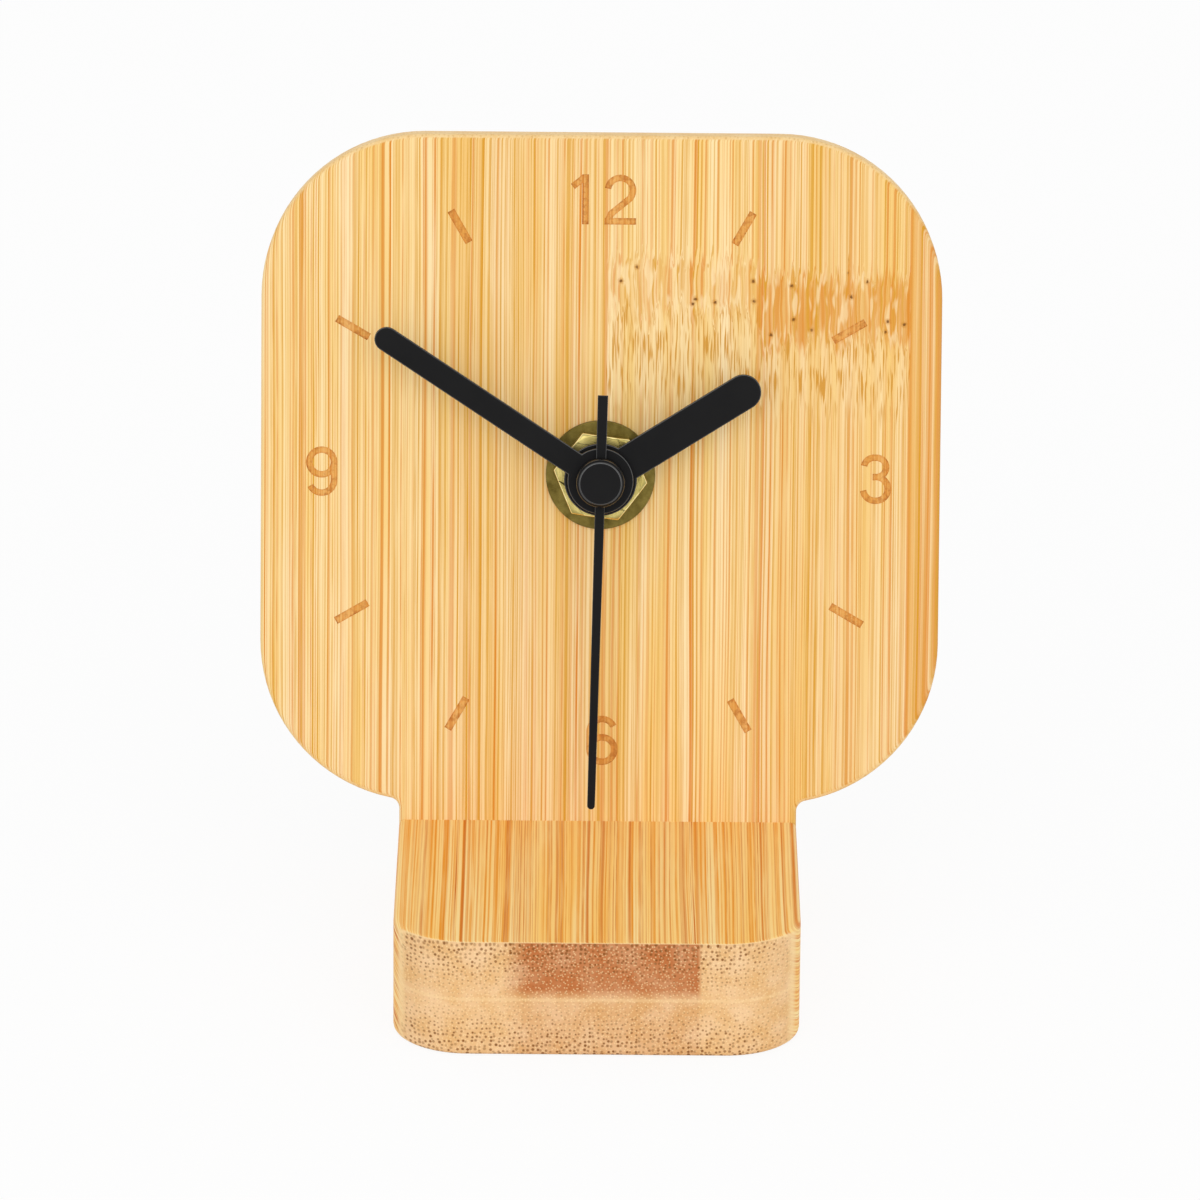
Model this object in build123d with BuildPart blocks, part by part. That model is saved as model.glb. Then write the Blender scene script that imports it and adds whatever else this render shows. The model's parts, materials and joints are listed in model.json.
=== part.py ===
"""Bamboo desk clock: a dial plate leaning back in a slotted base block, with a quartz movement behind.

Millimetres, +Z up. The dial faces -Y, and the origin is the centre of the base block's underside.
"""

import math
import os

from build123d import *

os.makedirs("parts", exist_ok=True)

# Base block and the dial plate that stands in it
base_width = 54.0
base_depth = 72.0
base_height = 16.0
base_corner_radius = 10.0
edge_ease = 0.8
plate_width = 92.0
plate_height = 91.0
plate_corner_radius = 22.0
plate_thickness = 6.0
lean_angle = 12.0
plate_setback = 45.0
neck_rise = 2.5
neck_fillet = 1.5
tenon_length = 9.0
tip_clearance = 1.0
hub_drop = 0.5
overrun = 1.0

# Brass hardware on the dial
bush_diameter = 7.8
bush_flange_diameter = 11.0
bush_flange_thickness = 0.8
bush_proud = 0.6
hole_play = 0.2
washer_diameter = 14.8
washer_thickness = 0.6
nut_sides = 6
nut_across_flats = 11.1
nut_height = 2.2
nut_chamfer_rise = 0.35
nut_chamfer_run = 0.75
nut_turn = -7.5
gasket_diameter = 20.0
gasket_thickness = 1.0

# Hands, with their angles clockwise from twelve
hour_hand_angle = 57.9
hour_hand_length = 25.0
hour_hand_width = 4.8
hour_hub_diameter = 9.8
hour_collar_diameter = 7.0
hour_collar_height = 1.6
hour_sheet = 0.6
minute_hand_angle = 303.3
minute_hand_length = 36.2
minute_hand_width = 3.3
minute_hub_diameter = 8.9
minute_collar_diameter = 5.4
minute_collar_height = 0.5
minute_sheet = 0.5
second_hand_angle = 181.2
second_hand_length = 44.6
second_tail_length = 11.7
second_tail_width = 1.4
second_tip_width = 1.05
second_collar_diameter = 2.4
second_collar_height = 0.3
second_sheet = 0.3
cap_diameter = 6.5
cap_height = 2.2
cap_bevel = 0.4
cap_grip_share = 0.6
hand_gap = 0.5

# Tubes and arbors on the hand axis
hour_tube_diameter = 5.0
cannon_diameter = 3.4
second_arbor_diameter = 1.5
second_tip_diameter = 1.0
arbor_diameter = 1.2
setting_arbor_diameter = 2.2
shaft_play = 0.05
clutch_play = 0.02
end_play = 0.2
layer_gap = 0.3

# Wheel train: tooth counts, modules and where each arbor stands round the hand axis
rotor_teeth = 8
rotor_mate_teeth = 48
rotor_module = 0.275
intermediate_teeth = 8
second_wheel_teeth = 40
intermediate_module = 0.425
second_pinion_teeth = 8
third_wheel_teeth = 60
third_pinion_teeth = 8
centre_wheel_teeth = 64
centre_module = 0.28
cannon_teeth = 10
setting_wheel_teeth = 30
setting_module = 0.54
setting_pinion_teeth = 8
hour_wheel_teeth = 32
tooth_addendum_share = 0.7
tooth_dedendum_share = 1.15
tooth_play_share = 0.4
tooth_flank_angle = 20.0
third_bearing = math.radians(0)
setting_bearing = math.radians(90)
intermediate_bearing = math.radians(180)
rotor_bearing = math.radians(110)
hour_wheel_thickness = 1.2
cannon_pinion_length = 1.5
setting_wheel_thickness = 1.0
centre_wheel_thickness = 1.0
third_wheel_thickness = 0.8
second_wheel_thickness = 1.0
intermediate_wheel_thickness = 0.8
hub_margin = 0.4
lip_diameter = 4.0
lip_height = 0.4
clutch_spring_thickness = 0.3
clutch_spring_diameter = 6.4
magnet_diameter = 5.8
magnet_length = 3.0
rotor_shaft_diameter = 1.8

# Movement case
case_width = 56.0
case_height = 56.0
case_drop = 1.5
case_wall = 1.4
case_corner_radius = 3.0
case_front_ease = 0.8
partition_wall = 1.2
cover_thickness = 1.4
cover_rim_height = 1.2
cover_rim_wall = 1.0
cover_play = 0.1
boss_diameter = 3.0
boss_height = 0.7
pivot_depth = 0.8
post_sides = 8
post_side_inset = 6.8
post_foot_inset = 3.4
top_post_inset = 10.2
top_post_rise = 1.7
post_diameter = 3.2
post_shoulder_diameter = 5.0
peg_diameter = 1.8
peg_play = 0.05
bridge_thickness = 1.0
bridge_margin = 3.2
bridge_corner_radius = 2.5
knob_diameter = 9.0
knob_height = 3.5
knob_gap = 0.3
knob_flutes = 12
knob_flute_share = 0.16
flute_sink_share = 0.35
knob_grip_share = 0.65
knob_recess_margin = 1.0
knob_recess_depth = 0.5

# Battery and its contacts
battery_diameter = 14.5
battery_length = 50.5
nub_diameter = 5.5
nub_length = 1.3
battery_edge = 0.6
battery_play = 0.5
battery_rest = 0.3
strip_thickness = 0.3
strip_width = 2.5
pad_margin = 1.0
dimple_diameter = 4.5
dimple_height = 0.8
contact_bow_share = 0.33
notch_play = 0.1

# Circuit board and stepping motor
board_standoff = 1.0
board_thickness = 1.0
board_margin = 0.4
board_left = 12.5
chip_length = 4.4
chip_width = 3.4
chip_height = 1.0
crystal_diameter = 2.0
crystal_length = 6.0
stator_thickness = 1.2
stator_gap = 0.5
stator_band = 3.7
stator_left = 24.0
stator_right = 2.5
stator_leg = 4.0
core_rise = 21.0
core_width = 3.0
bobbin_wall = 0.6
bobbin_flange = 0.8
bobbin_inset = 0.5
winding_build = 1.2
flange_proud = 0.5
motor_post_diameter = 3.0
motor_peg_diameter = 1.6

# Frames: the plate's front face where it meets the base top, and the dial face at the hand axis.
# The neck is tall enough to keep the second hand's tip clear of the base.
lean = math.radians(lean_angle)
dial_normal = (0, -math.cos(lean), math.sin(lean))
plate_rise = Vector(0, math.sin(lean), math.cos(lean))
plate_foot = Plane(
    origin=(0, plate_setback - base_depth / 2, base_height), x_dir=(1, 0, 0), z_dir=dial_normal
)
neck_height = max(neck_rise, second_hand_length + tip_clearance + hub_drop - plate_height / 2)
square_rise = neck_height + plate_height / 2
hub_rise = square_rise - hub_drop
dial_face = Plane(
    origin=plate_foot.from_local_coords(Vector(0, hub_rise, 0)), x_dir=(1, 0, 0), z_dir=dial_normal
)

# Holes that a bush, pivot or arbor passes through
bush_hole = bush_diameter + 2 * hole_play
pivot_hole = arbor_diameter + 2 * shaft_play
setting_hole = setting_arbor_diameter + 2 * shaft_play

# Heights in front of the dial face
bush_front = washer_thickness + nut_height + bush_proud
hour_collar_base = bush_front + hand_gap
hour_sheet_base = hour_collar_base + hour_collar_height
hour_top = hour_sheet_base + hour_sheet
minute_collar_base = hour_top + hand_gap
minute_sheet_base = minute_collar_base + minute_collar_height
minute_top = minute_sheet_base + minute_sheet
second_sheet_base = minute_top + hand_gap
second_top = second_sheet_base + second_sheet

# Depths behind the dial face, front to back
case_front = plate_thickness + gasket_thickness
case_inside = case_front + case_wall
case_back = case_inside + battery_rest + battery_diameter
rim_depth = case_back - cover_thickness
hour_wheel_front = case_inside + bush_flange_thickness + end_play
hour_wheel_back = hour_wheel_front + hour_wheel_thickness
cannon_front = hour_wheel_back + layer_gap
cannon_back = cannon_front + cannon_pinion_length
setting_wheel_front = cannon_front + layer_gap
setting_wheel_back = setting_wheel_front + setting_wheel_thickness
centre_wheel_front = cannon_back + clutch_spring_thickness
centre_wheel_back = centre_wheel_front + centre_wheel_thickness
cannon_end = centre_wheel_back + clutch_play + lip_height
third_pinion_front = centre_wheel_front - end_play
third_wheel_front = cannon_end + 2 * layer_gap
third_wheel_back = third_wheel_front + third_wheel_thickness
second_pinion_front = third_wheel_front - layer_gap
second_wheel_front = third_wheel_back + 2 * layer_gap
second_wheel_back = second_wheel_front + second_wheel_thickness
intermediate_pinion_front = second_wheel_front - end_play
intermediate_wheel_front = second_wheel_back + 3 * layer_gap
intermediate_wheel_back = intermediate_wheel_front + intermediate_wheel_thickness
bridge_front = intermediate_wheel_back + 2 * layer_gap
bridge_back = bridge_front + bridge_thickness
board_front = case_inside + board_standoff
board_back = board_front + board_thickness
core_front = centre_wheel_front + layer_gap
stator_front = core_front + stator_thickness
stator_back = stator_front + stator_thickness
knob_front = case_back + knob_gap
knob_back = knob_front + knob_height

# Arbor places round the hand axis
third_distance = (third_pinion_teeth + centre_wheel_teeth) * centre_module / 2
third_module = 2 * third_distance / (second_pinion_teeth + third_wheel_teeth)
setting_distance = (cannon_teeth + setting_wheel_teeth) * setting_module / 2
hour_module = 2 * setting_distance / (setting_pinion_teeth + hour_wheel_teeth)
intermediate_distance = (intermediate_teeth + second_wheel_teeth) * intermediate_module / 2
rotor_distance = (rotor_teeth + rotor_mate_teeth) * rotor_module / 2


def beside(centre, distance, bearing):
    """Point at a distance and bearing from a centre, in the dial's own plane."""
    return (centre[0] + distance * math.cos(bearing), centre[1] + distance * math.sin(bearing))


hub = (0, 0)
third_axis = beside(hub, third_distance, third_bearing)
setting_axis = beside(hub, setting_distance, setting_bearing)
intermediate_axis = beside(hub, intermediate_distance, intermediate_bearing)
rotor_axis = beside(intermediate_axis, rotor_distance, rotor_bearing)

# Inside of the case: the battery tub below, the train chamber above
case_top = case_height / 2 - case_drop
case_bottom = -case_height / 2 - case_drop
case_half = case_width / 2 - case_wall
tub_bottom = case_bottom + case_wall
tub_top = tub_bottom + battery_diameter + 2 * battery_play
chamber_bottom = tub_top + partition_wall
chamber_top = case_top - case_wall
battery_rise = (tub_bottom + tub_top) / 2
battery_depth = case_inside + battery_rest + battery_diameter / 2
posts = [
    (-case_half + post_side_inset, chamber_bottom + post_foot_inset),
    (case_half - post_side_inset, chamber_bottom + post_foot_inset),
    (case_half - top_post_inset, setting_axis[1] + top_post_rise),
]
motor_posts = [
    (-stator_left + stator_leg / 2, core_rise),
    (-stator_right - stator_leg / 2, core_rise),
]


def at(depth):
    """Plane parallel to the dial at a depth behind its front face, seen from the front."""
    return dial_face.offset(-depth)


def disc(depth, diameter, centre=hub, bore=0):
    """Round face at a depth, with an optional bore."""
    with BuildSketch(at(depth)) as face:
        with Locations(centre):
            Circle(diameter / 2)
            if bore:
                Circle(bore / 2, mode=Mode.SUBTRACT)
    return face.sketch


def post_face(depth, across_flats, centre):
    """Many-sided face at a depth, for moulded posts and the holes that fit them."""
    with BuildSketch(at(depth)) as face:
        with Locations(centre):
            RegularPolygon(across_flats / 2, post_sides, major_radius=False)
    return face.sketch


def slab(depth, left, right, bottom, top, corner=0):
    """Rectangular face at a depth, given by its four sides."""
    with BuildSketch(at(depth)) as face:
        with Locations(((left + right) / 2, (bottom + top) / 2)):
            if corner:
                RectangleRounded(right - left, top - bottom, corner)
            else:
                Rectangle(right - left, top - bottom)
    return face.sketch


def toothed(depth, teeth, module, first_tooth, centre=hub):
    """Gear face with straight-flanked teeth, its first tooth at the given angle."""
    pitch_radius = teeth * module / 2
    root = pitch_radius - tooth_dedendum_share * module
    tip = pitch_radius + tooth_addendum_share * module
    pitch_half = (math.pi / 2 - tooth_play_share) * module / 2
    slope = math.tan(math.radians(tooth_flank_angle))
    points = []
    for tooth in range(teeth):
        middle = first_tooth + tooth * math.tau / teeth
        for radius, side in ((root, -1), (tip, -1), (tip, 1), (root, 1)):
            half = pitch_half - (radius - pitch_radius) * slope
            points.append(beside(centre, radius, middle + side * half / radius))
    with BuildSketch(at(depth)) as face:
        with BuildLine():
            Polyline(*points, close=True)
        make_face()
    return face.sketch


def meshing(teeth, mate_teeth, mate_first, bearing):
    """First-tooth angle that puts a gap opposite the mate's tooth, seen along the bearing from the mate."""
    mate_phase = mate_teeth * (bearing - mate_first) / math.tau
    return bearing + math.pi - (1 / 2 - mate_phase) * math.tau / teeth


def hand_plane(height, clock_angle):
    """Plane at a height in front of the dial whose x axis points along a hand."""
    turn = math.radians(clock_angle)
    pointing = Vector(math.sin(turn), 0, 0) + plate_rise * math.cos(turn)
    return Plane(origin=at(-height).origin, x_dir=pointing, z_dir=dial_normal)


def along_case(left, rise, depth):
    """Plane square to the case's width, its x axis up the dial and its z axis to the right."""
    corner = at(depth).from_local_coords(Vector(left, rise, 0))
    return Plane(origin=corner, x_dir=plate_rise, z_dir=(1, 0, 0))


def finish(piece, name):
    """Label a finished piece and write it to its own file."""
    piece.part.label = name
    export_step(piece.part, f"parts/{name}.step")


# Dial plate: rounded square and neck in one board, eased all round except at the tenon's end
with BuildPart() as dial_plate:
    with BuildSketch(plate_foot) as plate_outline:
        with Locations((0, square_rise)):
            RectangleRounded(plate_width, plate_height, plate_corner_radius)
        with Locations((0, -tenon_length)):
            Rectangle(base_width, tenon_length + square_rise, align=(Align.CENTER, Align.MIN))
        neck_corners = plate_outline.vertices().filter_by_position(Axis.Y, 0, square_rise)
        fillet(neck_corners.filter_by(lambda v: abs(abs(v.X) - base_width / 2) < neck_fillet), neck_fillet)
    extrude(amount=-plate_thickness)
    plate_faces = dial_plate.faces().filter_by(Axis(plate_foot.origin, plate_foot.z_dir))
    rim_edges = plate_faces.edges().sort_by(Axis(plate_foot.origin, plate_rise))[2:]
    chamfer(rim_edges, edge_ease)
    extrude(disc(-overrun, bush_hole), amount=-plate_thickness - 2 * overrun, mode=Mode.SUBTRACT)
finish(dial_plate, "dial_plate")

# Base block: rounded in plan, eased top and bottom, with the slanted housing for the plate
with BuildPart() as base_block:
    with BuildSketch():
        RectangleRounded(base_width, base_depth, base_corner_radius)
    extrude(amount=base_height)
    chamfer(base_block.faces().filter_by(Axis.Z).edges(), edge_ease)
    with BuildSketch(plate_foot):
        with Locations((0, -tenon_length)):
            housing_rise = tenon_length + plate_thickness
            Rectangle(base_width + 2 * overrun, housing_rise, align=(Align.CENTER, Align.MIN))
    extrude(amount=-plate_thickness, mode=Mode.SUBTRACT)
finish(base_block, "base_block")

# Brass washer and hex nut on the dial
with BuildPart() as brass_washer:
    extrude(disc(0, washer_diameter, bore=bush_hole), amount=washer_thickness)
finish(brass_washer, "brass_washer")

with BuildPart() as hex_nut:
    nut_corners = nut_across_flats / math.cos(math.pi / nut_sides)
    extrude(disc(-washer_thickness, nut_corners), amount=nut_height)
    nut_rim = hex_nut.edges().sort_by(Axis(dial_face.origin, dial_face.z_dir))[-1]
    chamfer(nut_rim, nut_chamfer_rise, nut_chamfer_run)
    with BuildSketch(at(-washer_thickness)):
        RegularPolygon(nut_across_flats / 2, nut_sides, major_radius=False, rotation=nut_turn)
    extrude(amount=nut_height, mode=Mode.INTERSECT)
    extrude(disc(-washer_thickness, bush_diameter), amount=nut_height, mode=Mode.SUBTRACT)
finish(hex_nut, "hex_nut")

# Bush that the nut draws forward, with its flange inside the case, and the rubber gasket
with BuildPart() as threaded_bush:
    extrude(disc(case_inside, bush_diameter), amount=case_inside + bush_front)
    extrude(disc(case_inside, bush_flange_diameter), amount=-bush_flange_thickness)
    bush_bore = disc(-bush_front, hour_tube_diameter + 2 * shaft_play)
    extrude(bush_bore, amount=-bush_front - case_inside - bush_flange_thickness, mode=Mode.SUBTRACT)
finish(threaded_bush, "threaded_bush")

with BuildPart() as rubber_gasket:
    extrude(disc(plate_thickness, gasket_diameter, bore=bush_hole), amount=-gasket_thickness)
finish(rubber_gasket, "rubber_gasket")

# Hands: pressed sheet with a collar behind that grips its tube
with BuildPart() as hour_hand:
    with BuildSketch(hand_plane(hour_sheet_base, hour_hand_angle)):
        with Locations(((hour_hand_length - hour_hand_width / 2) / 2, 0)):
            SlotCenterToCenter(hour_hand_length - hour_hand_width / 2, hour_hand_width)
        Circle(hour_hub_diameter / 2)
    extrude(amount=hour_sheet)
    extrude(disc(-hour_sheet_base, hour_collar_diameter), amount=-hour_collar_height)
    hour_grip = disc(-hour_top, hour_tube_diameter)
    extrude(hour_grip, amount=-hour_sheet - hour_collar_height, mode=Mode.SUBTRACT)
finish(hour_hand, "hour_hand")

with BuildPart() as minute_hand:
    with BuildSketch(hand_plane(minute_sheet_base, minute_hand_angle)):
        with Locations(((minute_hand_length - minute_hand_width / 2) / 2, 0)):
            SlotCenterToCenter(minute_hand_length - minute_hand_width / 2, minute_hand_width)
        Circle(minute_hub_diameter / 2)
    extrude(amount=minute_sheet)
    extrude(disc(-minute_sheet_base, minute_collar_diameter), amount=-minute_collar_height)
    minute_grip = disc(-minute_top, cannon_diameter)
    extrude(minute_grip, amount=-minute_sheet - minute_collar_height, mode=Mode.SUBTRACT)
finish(minute_hand, "minute_hand")

with BuildPart() as second_hand:
    with BuildSketch(hand_plane(second_sheet_base, second_hand_angle)):
        with BuildLine():
            tip_start = (second_hand_length - second_tip_width / 2, second_tip_width / 2)
            tip_end = (second_hand_length - second_tip_width / 2, -second_tip_width / 2)
            Polyline((-second_tail_length, 0), (-second_tail_length, second_tail_width / 2), tip_start)
            ThreePointArc(tip_start, (second_hand_length, 0), tip_end)
            Polyline(tip_end, (-second_tail_length, -second_tail_width / 2), (-second_tail_length, 0))
        make_face()
        Circle(second_collar_diameter / 2)
    extrude(amount=second_sheet)
    extrude(disc(-second_sheet_base, second_collar_diameter), amount=-second_collar_height)
    second_grip = disc(-second_top, second_tip_diameter)
    extrude(second_grip, amount=-second_sheet - second_collar_height, mode=Mode.SUBTRACT)
finish(second_hand, "second_hand")

cap_grip = cap_height * cap_grip_share
with BuildPart() as second_hand_cap:
    extrude(disc(-second_top, cap_diameter), amount=cap_height)
    chamfer(second_hand_cap.edges().group_by(Axis(dial_face.origin, dial_face.z_dir))[-1], cap_bevel)
    extrude(disc(-second_top, second_tip_diameter), amount=cap_grip, mode=Mode.SUBTRACT)
finish(second_hand_cap, "second_hand_cap")

# Second wheel with its pinion, on the steel arbor that runs through the tubes
with BuildPart() as second_wheel:
    second_teeth = toothed(second_wheel_front, second_wheel_teeth, intermediate_module, 0)
    extrude(second_teeth, amount=-second_wheel_thickness)
    extrude(
        toothed(second_pinion_front, second_pinion_teeth, third_module, 0),
        amount=second_pinion_front - second_wheel_front,
    )
    second_bore = disc(second_pinion_front, arbor_diameter)
    extrude(second_bore, amount=second_pinion_front - second_wheel_back, mode=Mode.SUBTRACT)
finish(second_wheel, "second_wheel")

with BuildPart() as second_arbor:
    extrude(disc(bridge_back, arbor_diameter), amount=bridge_back - second_pinion_front)
    extrude(disc(second_pinion_front, second_arbor_diameter), amount=second_pinion_front + minute_top)
    extrude(disc(-minute_top, second_tip_diameter), amount=second_top + cap_grip - minute_top)
finish(second_arbor, "second_arbor")

# Third wheel with its pinion and pivots in one moulding
third_first = meshing(third_wheel_teeth, second_pinion_teeth, 0, third_bearing)
third_pinion_first = meshing(third_pinion_teeth, centre_wheel_teeth, 0, third_bearing)
with BuildPart() as third_wheel:
    extrude(
        toothed(third_wheel_front, third_wheel_teeth, third_module, third_first, third_axis),
        amount=-third_wheel_thickness,
    )
    extrude(
        toothed(third_pinion_front, third_pinion_teeth, centre_module, third_pinion_first, third_axis),
        amount=third_pinion_front - third_wheel_front,
    )
    extrude(disc(case_inside, arbor_diameter, third_axis), amount=case_inside - bridge_back)
finish(third_wheel, "third_wheel")

# Centre wheel, which grips the minute cannon through the clutch spring
with BuildPart() as centre_wheel:
    centre_teeth = toothed(centre_wheel_front, centre_wheel_teeth, centre_module, 0)
    extrude(centre_teeth, amount=-centre_wheel_thickness)
    centre_bore = disc(centre_wheel_front, cannon_diameter + 2 * clutch_play)
    extrude(centre_bore, amount=-centre_wheel_thickness, mode=Mode.SUBTRACT)
finish(centre_wheel, "centre_wheel")

with BuildPart() as clutch_spring:
    spring_ring = disc(cannon_back, clutch_spring_diameter, bore=cannon_diameter)
    extrude(spring_ring, amount=clutch_play - clutch_spring_thickness)
finish(clutch_spring, "clutch_spring")

# Minute cannon: pinion, tube to the minute hand, and the lip that keeps the centre wheel on
with BuildPart() as minute_cannon:
    extrude(toothed(cannon_front, cannon_teeth, setting_module, 0), amount=-cannon_pinion_length)
    extrude(disc(cannon_end, cannon_diameter), amount=cannon_end + minute_top)
    extrude(disc(cannon_end, lip_diameter), amount=lip_height)
    cannon_bore = disc(-minute_top, second_arbor_diameter + 2 * shaft_play)
    extrude(cannon_bore, amount=-minute_top - cannon_end, mode=Mode.SUBTRACT)
finish(minute_cannon, "minute_cannon")

# Setting wheel: it reverses the cannon's turn for the hour wheel, and the knob turns it from behind
setting_first = meshing(setting_wheel_teeth, cannon_teeth, 0, setting_bearing)
setting_pinion_first = meshing(setting_pinion_teeth, hour_wheel_teeth, 0, setting_bearing)
knob_grip = knob_front + knob_height * knob_grip_share
with BuildPart() as setting_wheel:
    extrude(
        toothed(setting_wheel_front, setting_wheel_teeth, setting_module, setting_first, setting_axis),
        amount=-setting_wheel_thickness,
    )
    extrude(
        toothed(hour_wheel_front, setting_pinion_teeth, hour_module, setting_pinion_first, setting_axis),
        amount=hour_wheel_front - setting_wheel_front,
    )
    setting_arbor = disc(setting_wheel_back, setting_arbor_diameter, setting_axis)
    extrude(setting_arbor, amount=setting_wheel_back - knob_grip)
    extrude(disc(case_inside, arbor_diameter, setting_axis), amount=case_inside - setting_wheel_back)
finish(setting_wheel, "setting_wheel")

with BuildPart() as setting_knob:
    extrude(disc(knob_front, knob_diameter, setting_axis), amount=-knob_height)
    flute = knob_diameter * knob_flute_share
    with BuildSketch(at(knob_front)):
        with Locations(setting_axis):
            with PolarLocations(knob_diameter / 2 + flute * flute_sink_share, knob_flutes):
                Circle(flute / 2)
    extrude(amount=-knob_height, mode=Mode.SUBTRACT)
    knob_bore = disc(knob_front, setting_arbor_diameter, setting_axis)
    extrude(knob_bore, amount=knob_front - knob_grip, mode=Mode.SUBTRACT)
finish(setting_knob, "setting_knob")

# Hour wheel on the outer tube
with BuildPart() as hour_wheel:
    extrude(toothed(hour_wheel_front, hour_wheel_teeth, hour_module, 0), amount=-hour_wheel_thickness)
    extrude(disc(hour_wheel_front, hour_tube_diameter), amount=hour_wheel_front + hour_top)
    hour_bore = disc(-hour_top, cannon_diameter + 2 * shaft_play)
    extrude(hour_bore, amount=-hour_top - hour_wheel_back, mode=Mode.SUBTRACT)
finish(hour_wheel, "hour_wheel")

# Intermediate wheel between the rotor and the second wheel
intermediate_first = meshing(intermediate_teeth, second_wheel_teeth, 0, intermediate_bearing)
with BuildPart() as intermediate_wheel:
    extrude(
        toothed(intermediate_wheel_front, rotor_mate_teeth, rotor_module, 0, intermediate_axis),
        amount=-intermediate_wheel_thickness,
    )
    extrude(
        toothed(
            intermediate_pinion_front,
            intermediate_teeth,
            intermediate_module,
            intermediate_first,
            intermediate_axis,
        ),
        amount=intermediate_pinion_front - intermediate_wheel_front,
    )
    extrude(disc(case_inside, arbor_diameter, intermediate_axis), amount=case_inside - bridge_back)
finish(intermediate_wheel, "intermediate_wheel")

# Rotor of the stepping motor: a magnet ring on a moulded shaft with a pinion
rotor_first = meshing(rotor_teeth, rotor_mate_teeth, 0, rotor_bearing)
magnet_front = (stator_front + stator_back - magnet_length) / 2
with BuildPart() as rotor_pinion:
    extrude(
        toothed(intermediate_wheel_front - end_play, rotor_teeth, rotor_module, rotor_first, rotor_axis),
        amount=-intermediate_wheel_thickness - 2 * end_play,
    )
    extrude(
        disc(magnet_front - hub_margin, rotor_shaft_diameter, rotor_axis),
        amount=magnet_front - hub_margin - intermediate_wheel_front + end_play,
    )
    extrude(disc(case_inside, arbor_diameter, rotor_axis), amount=case_inside - bridge_back)
finish(rotor_pinion, "rotor_pinion")

with BuildPart() as rotor_magnet:
    extrude(disc(magnet_front, magnet_diameter, rotor_axis, rotor_shaft_diameter), amount=-magnet_length)
finish(rotor_magnet, "rotor_magnet")

# Stator: a soft-iron plate round the magnet with two legs up to the coil
stator_top = core_rise + core_width / 2
with BuildPart() as stator_plate:
    with BuildSketch(at(stator_front)):
        with Locations((-(stator_left + stator_right) / 2, rotor_axis[1])):
            Rectangle(stator_left - stator_right, 2 * stator_band)
        leg_length = stator_top - rotor_axis[1] + stator_band
        for post in motor_posts:
            with Locations((post[0], stator_top)):
                Rectangle(stator_leg, leg_length, align=(Align.CENTER, Align.MAX))
        with Locations(rotor_axis):
            Circle(magnet_diameter / 2 + stator_gap, mode=Mode.SUBTRACT)
        with Locations(*motor_posts):
            peg_hole_half = motor_peg_diameter / 2 + peg_play
            RegularPolygon(peg_hole_half, post_sides, major_radius=False, mode=Mode.SUBTRACT)
    extrude(amount=-stator_thickness)
finish(stator_plate, "stator_plate")

with BuildPart() as coil_core:
    core_bottom = core_rise - core_width / 2
    core_bar = slab(core_front, -stator_left, -stator_right, core_bottom, stator_top)
    extrude(core_bar, amount=-stator_thickness)
    for post in motor_posts:
        peg_hole = post_face(core_front, motor_peg_diameter + 2 * peg_play, post)
        extrude(peg_hole, amount=-stator_thickness, mode=Mode.SUBTRACT)
finish(coil_core, "coil_core")

# Coil: bobbin on the core with the winding between its flanges
bobbin_left = -stator_left + stator_leg + bobbin_inset
bobbin_length = stator_left - stator_right - 2 * stator_leg - 2 * bobbin_inset
core_middle = core_front + stator_thickness / 2
sleeve_rise = core_width + 2 * bobbin_wall
sleeve_depth = stator_thickness + 2 * bobbin_wall
with BuildPart() as coil_bobbin:
    with BuildSketch(along_case(bobbin_left, core_rise, core_middle)):
        Rectangle(sleeve_rise, sleeve_depth)
    extrude(amount=bobbin_length)
    with BuildSketch(
        along_case(bobbin_left, core_rise, core_middle),
        along_case(bobbin_left + bobbin_length - bobbin_flange, core_rise, core_middle),
    ):
        flange_build = 2 * (winding_build + flange_proud)
        Rectangle(sleeve_rise + flange_build, sleeve_depth + flange_build)
    extrude(amount=bobbin_flange)
    with BuildSketch(along_case(bobbin_left, core_rise, core_middle)):
        Rectangle(core_width, stator_thickness)
    extrude(amount=bobbin_length, mode=Mode.SUBTRACT)
finish(coil_bobbin, "coil_bobbin")

with BuildPart() as coil_winding:
    with BuildSketch(along_case(bobbin_left + bobbin_flange, core_rise, core_middle)):
        RectangleRounded(sleeve_rise + 2 * winding_build, sleeve_depth + 2 * winding_build, winding_build)
        Rectangle(sleeve_rise, sleeve_depth, mode=Mode.SUBTRACT)
    extrude(amount=bobbin_length - 2 * bobbin_flange)
finish(coil_winding, "coil_winding")

# Circuit board on two of the case posts, with the driver chip and the crystal on its back
with BuildPart() as circuit_board:
    board_right = case_half - board_margin
    board_top = chamber_top - board_margin
    extrude(
        slab(board_front, board_left, board_right, chamber_bottom + strip_thickness / 2, board_top),
        amount=-board_thickness,
    )
    for post in posts[1:]:
        post_hole = post_face(board_front, post_diameter + 2 * peg_play, post)
        extrude(post_hole, amount=-board_thickness, mode=Mode.SUBTRACT)
finish(circuit_board, "circuit_board")

board_middle = (board_left + board_right) / 2
with BuildPart() as driver_chip:
    extrude(
        slab(board_back, board_middle - chip_width / 2, board_middle + chip_width / 2, 0, chip_length),
        amount=-chip_height,
    )
finish(driver_chip, "driver_chip")

with BuildPart() as quartz_crystal:
    crystal_place = at(board_back + crystal_diameter / 2).from_local_coords(
        Vector(board_right - crystal_diameter, chip_length, 0)
    )
    with BuildSketch(Plane(origin=crystal_place, x_dir=(1, 0, 0), z_dir=plate_rise)):
        Circle(crystal_diameter / 2)
    extrude(amount=crystal_length)
finish(quartz_crystal, "quartz_crystal")

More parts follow.
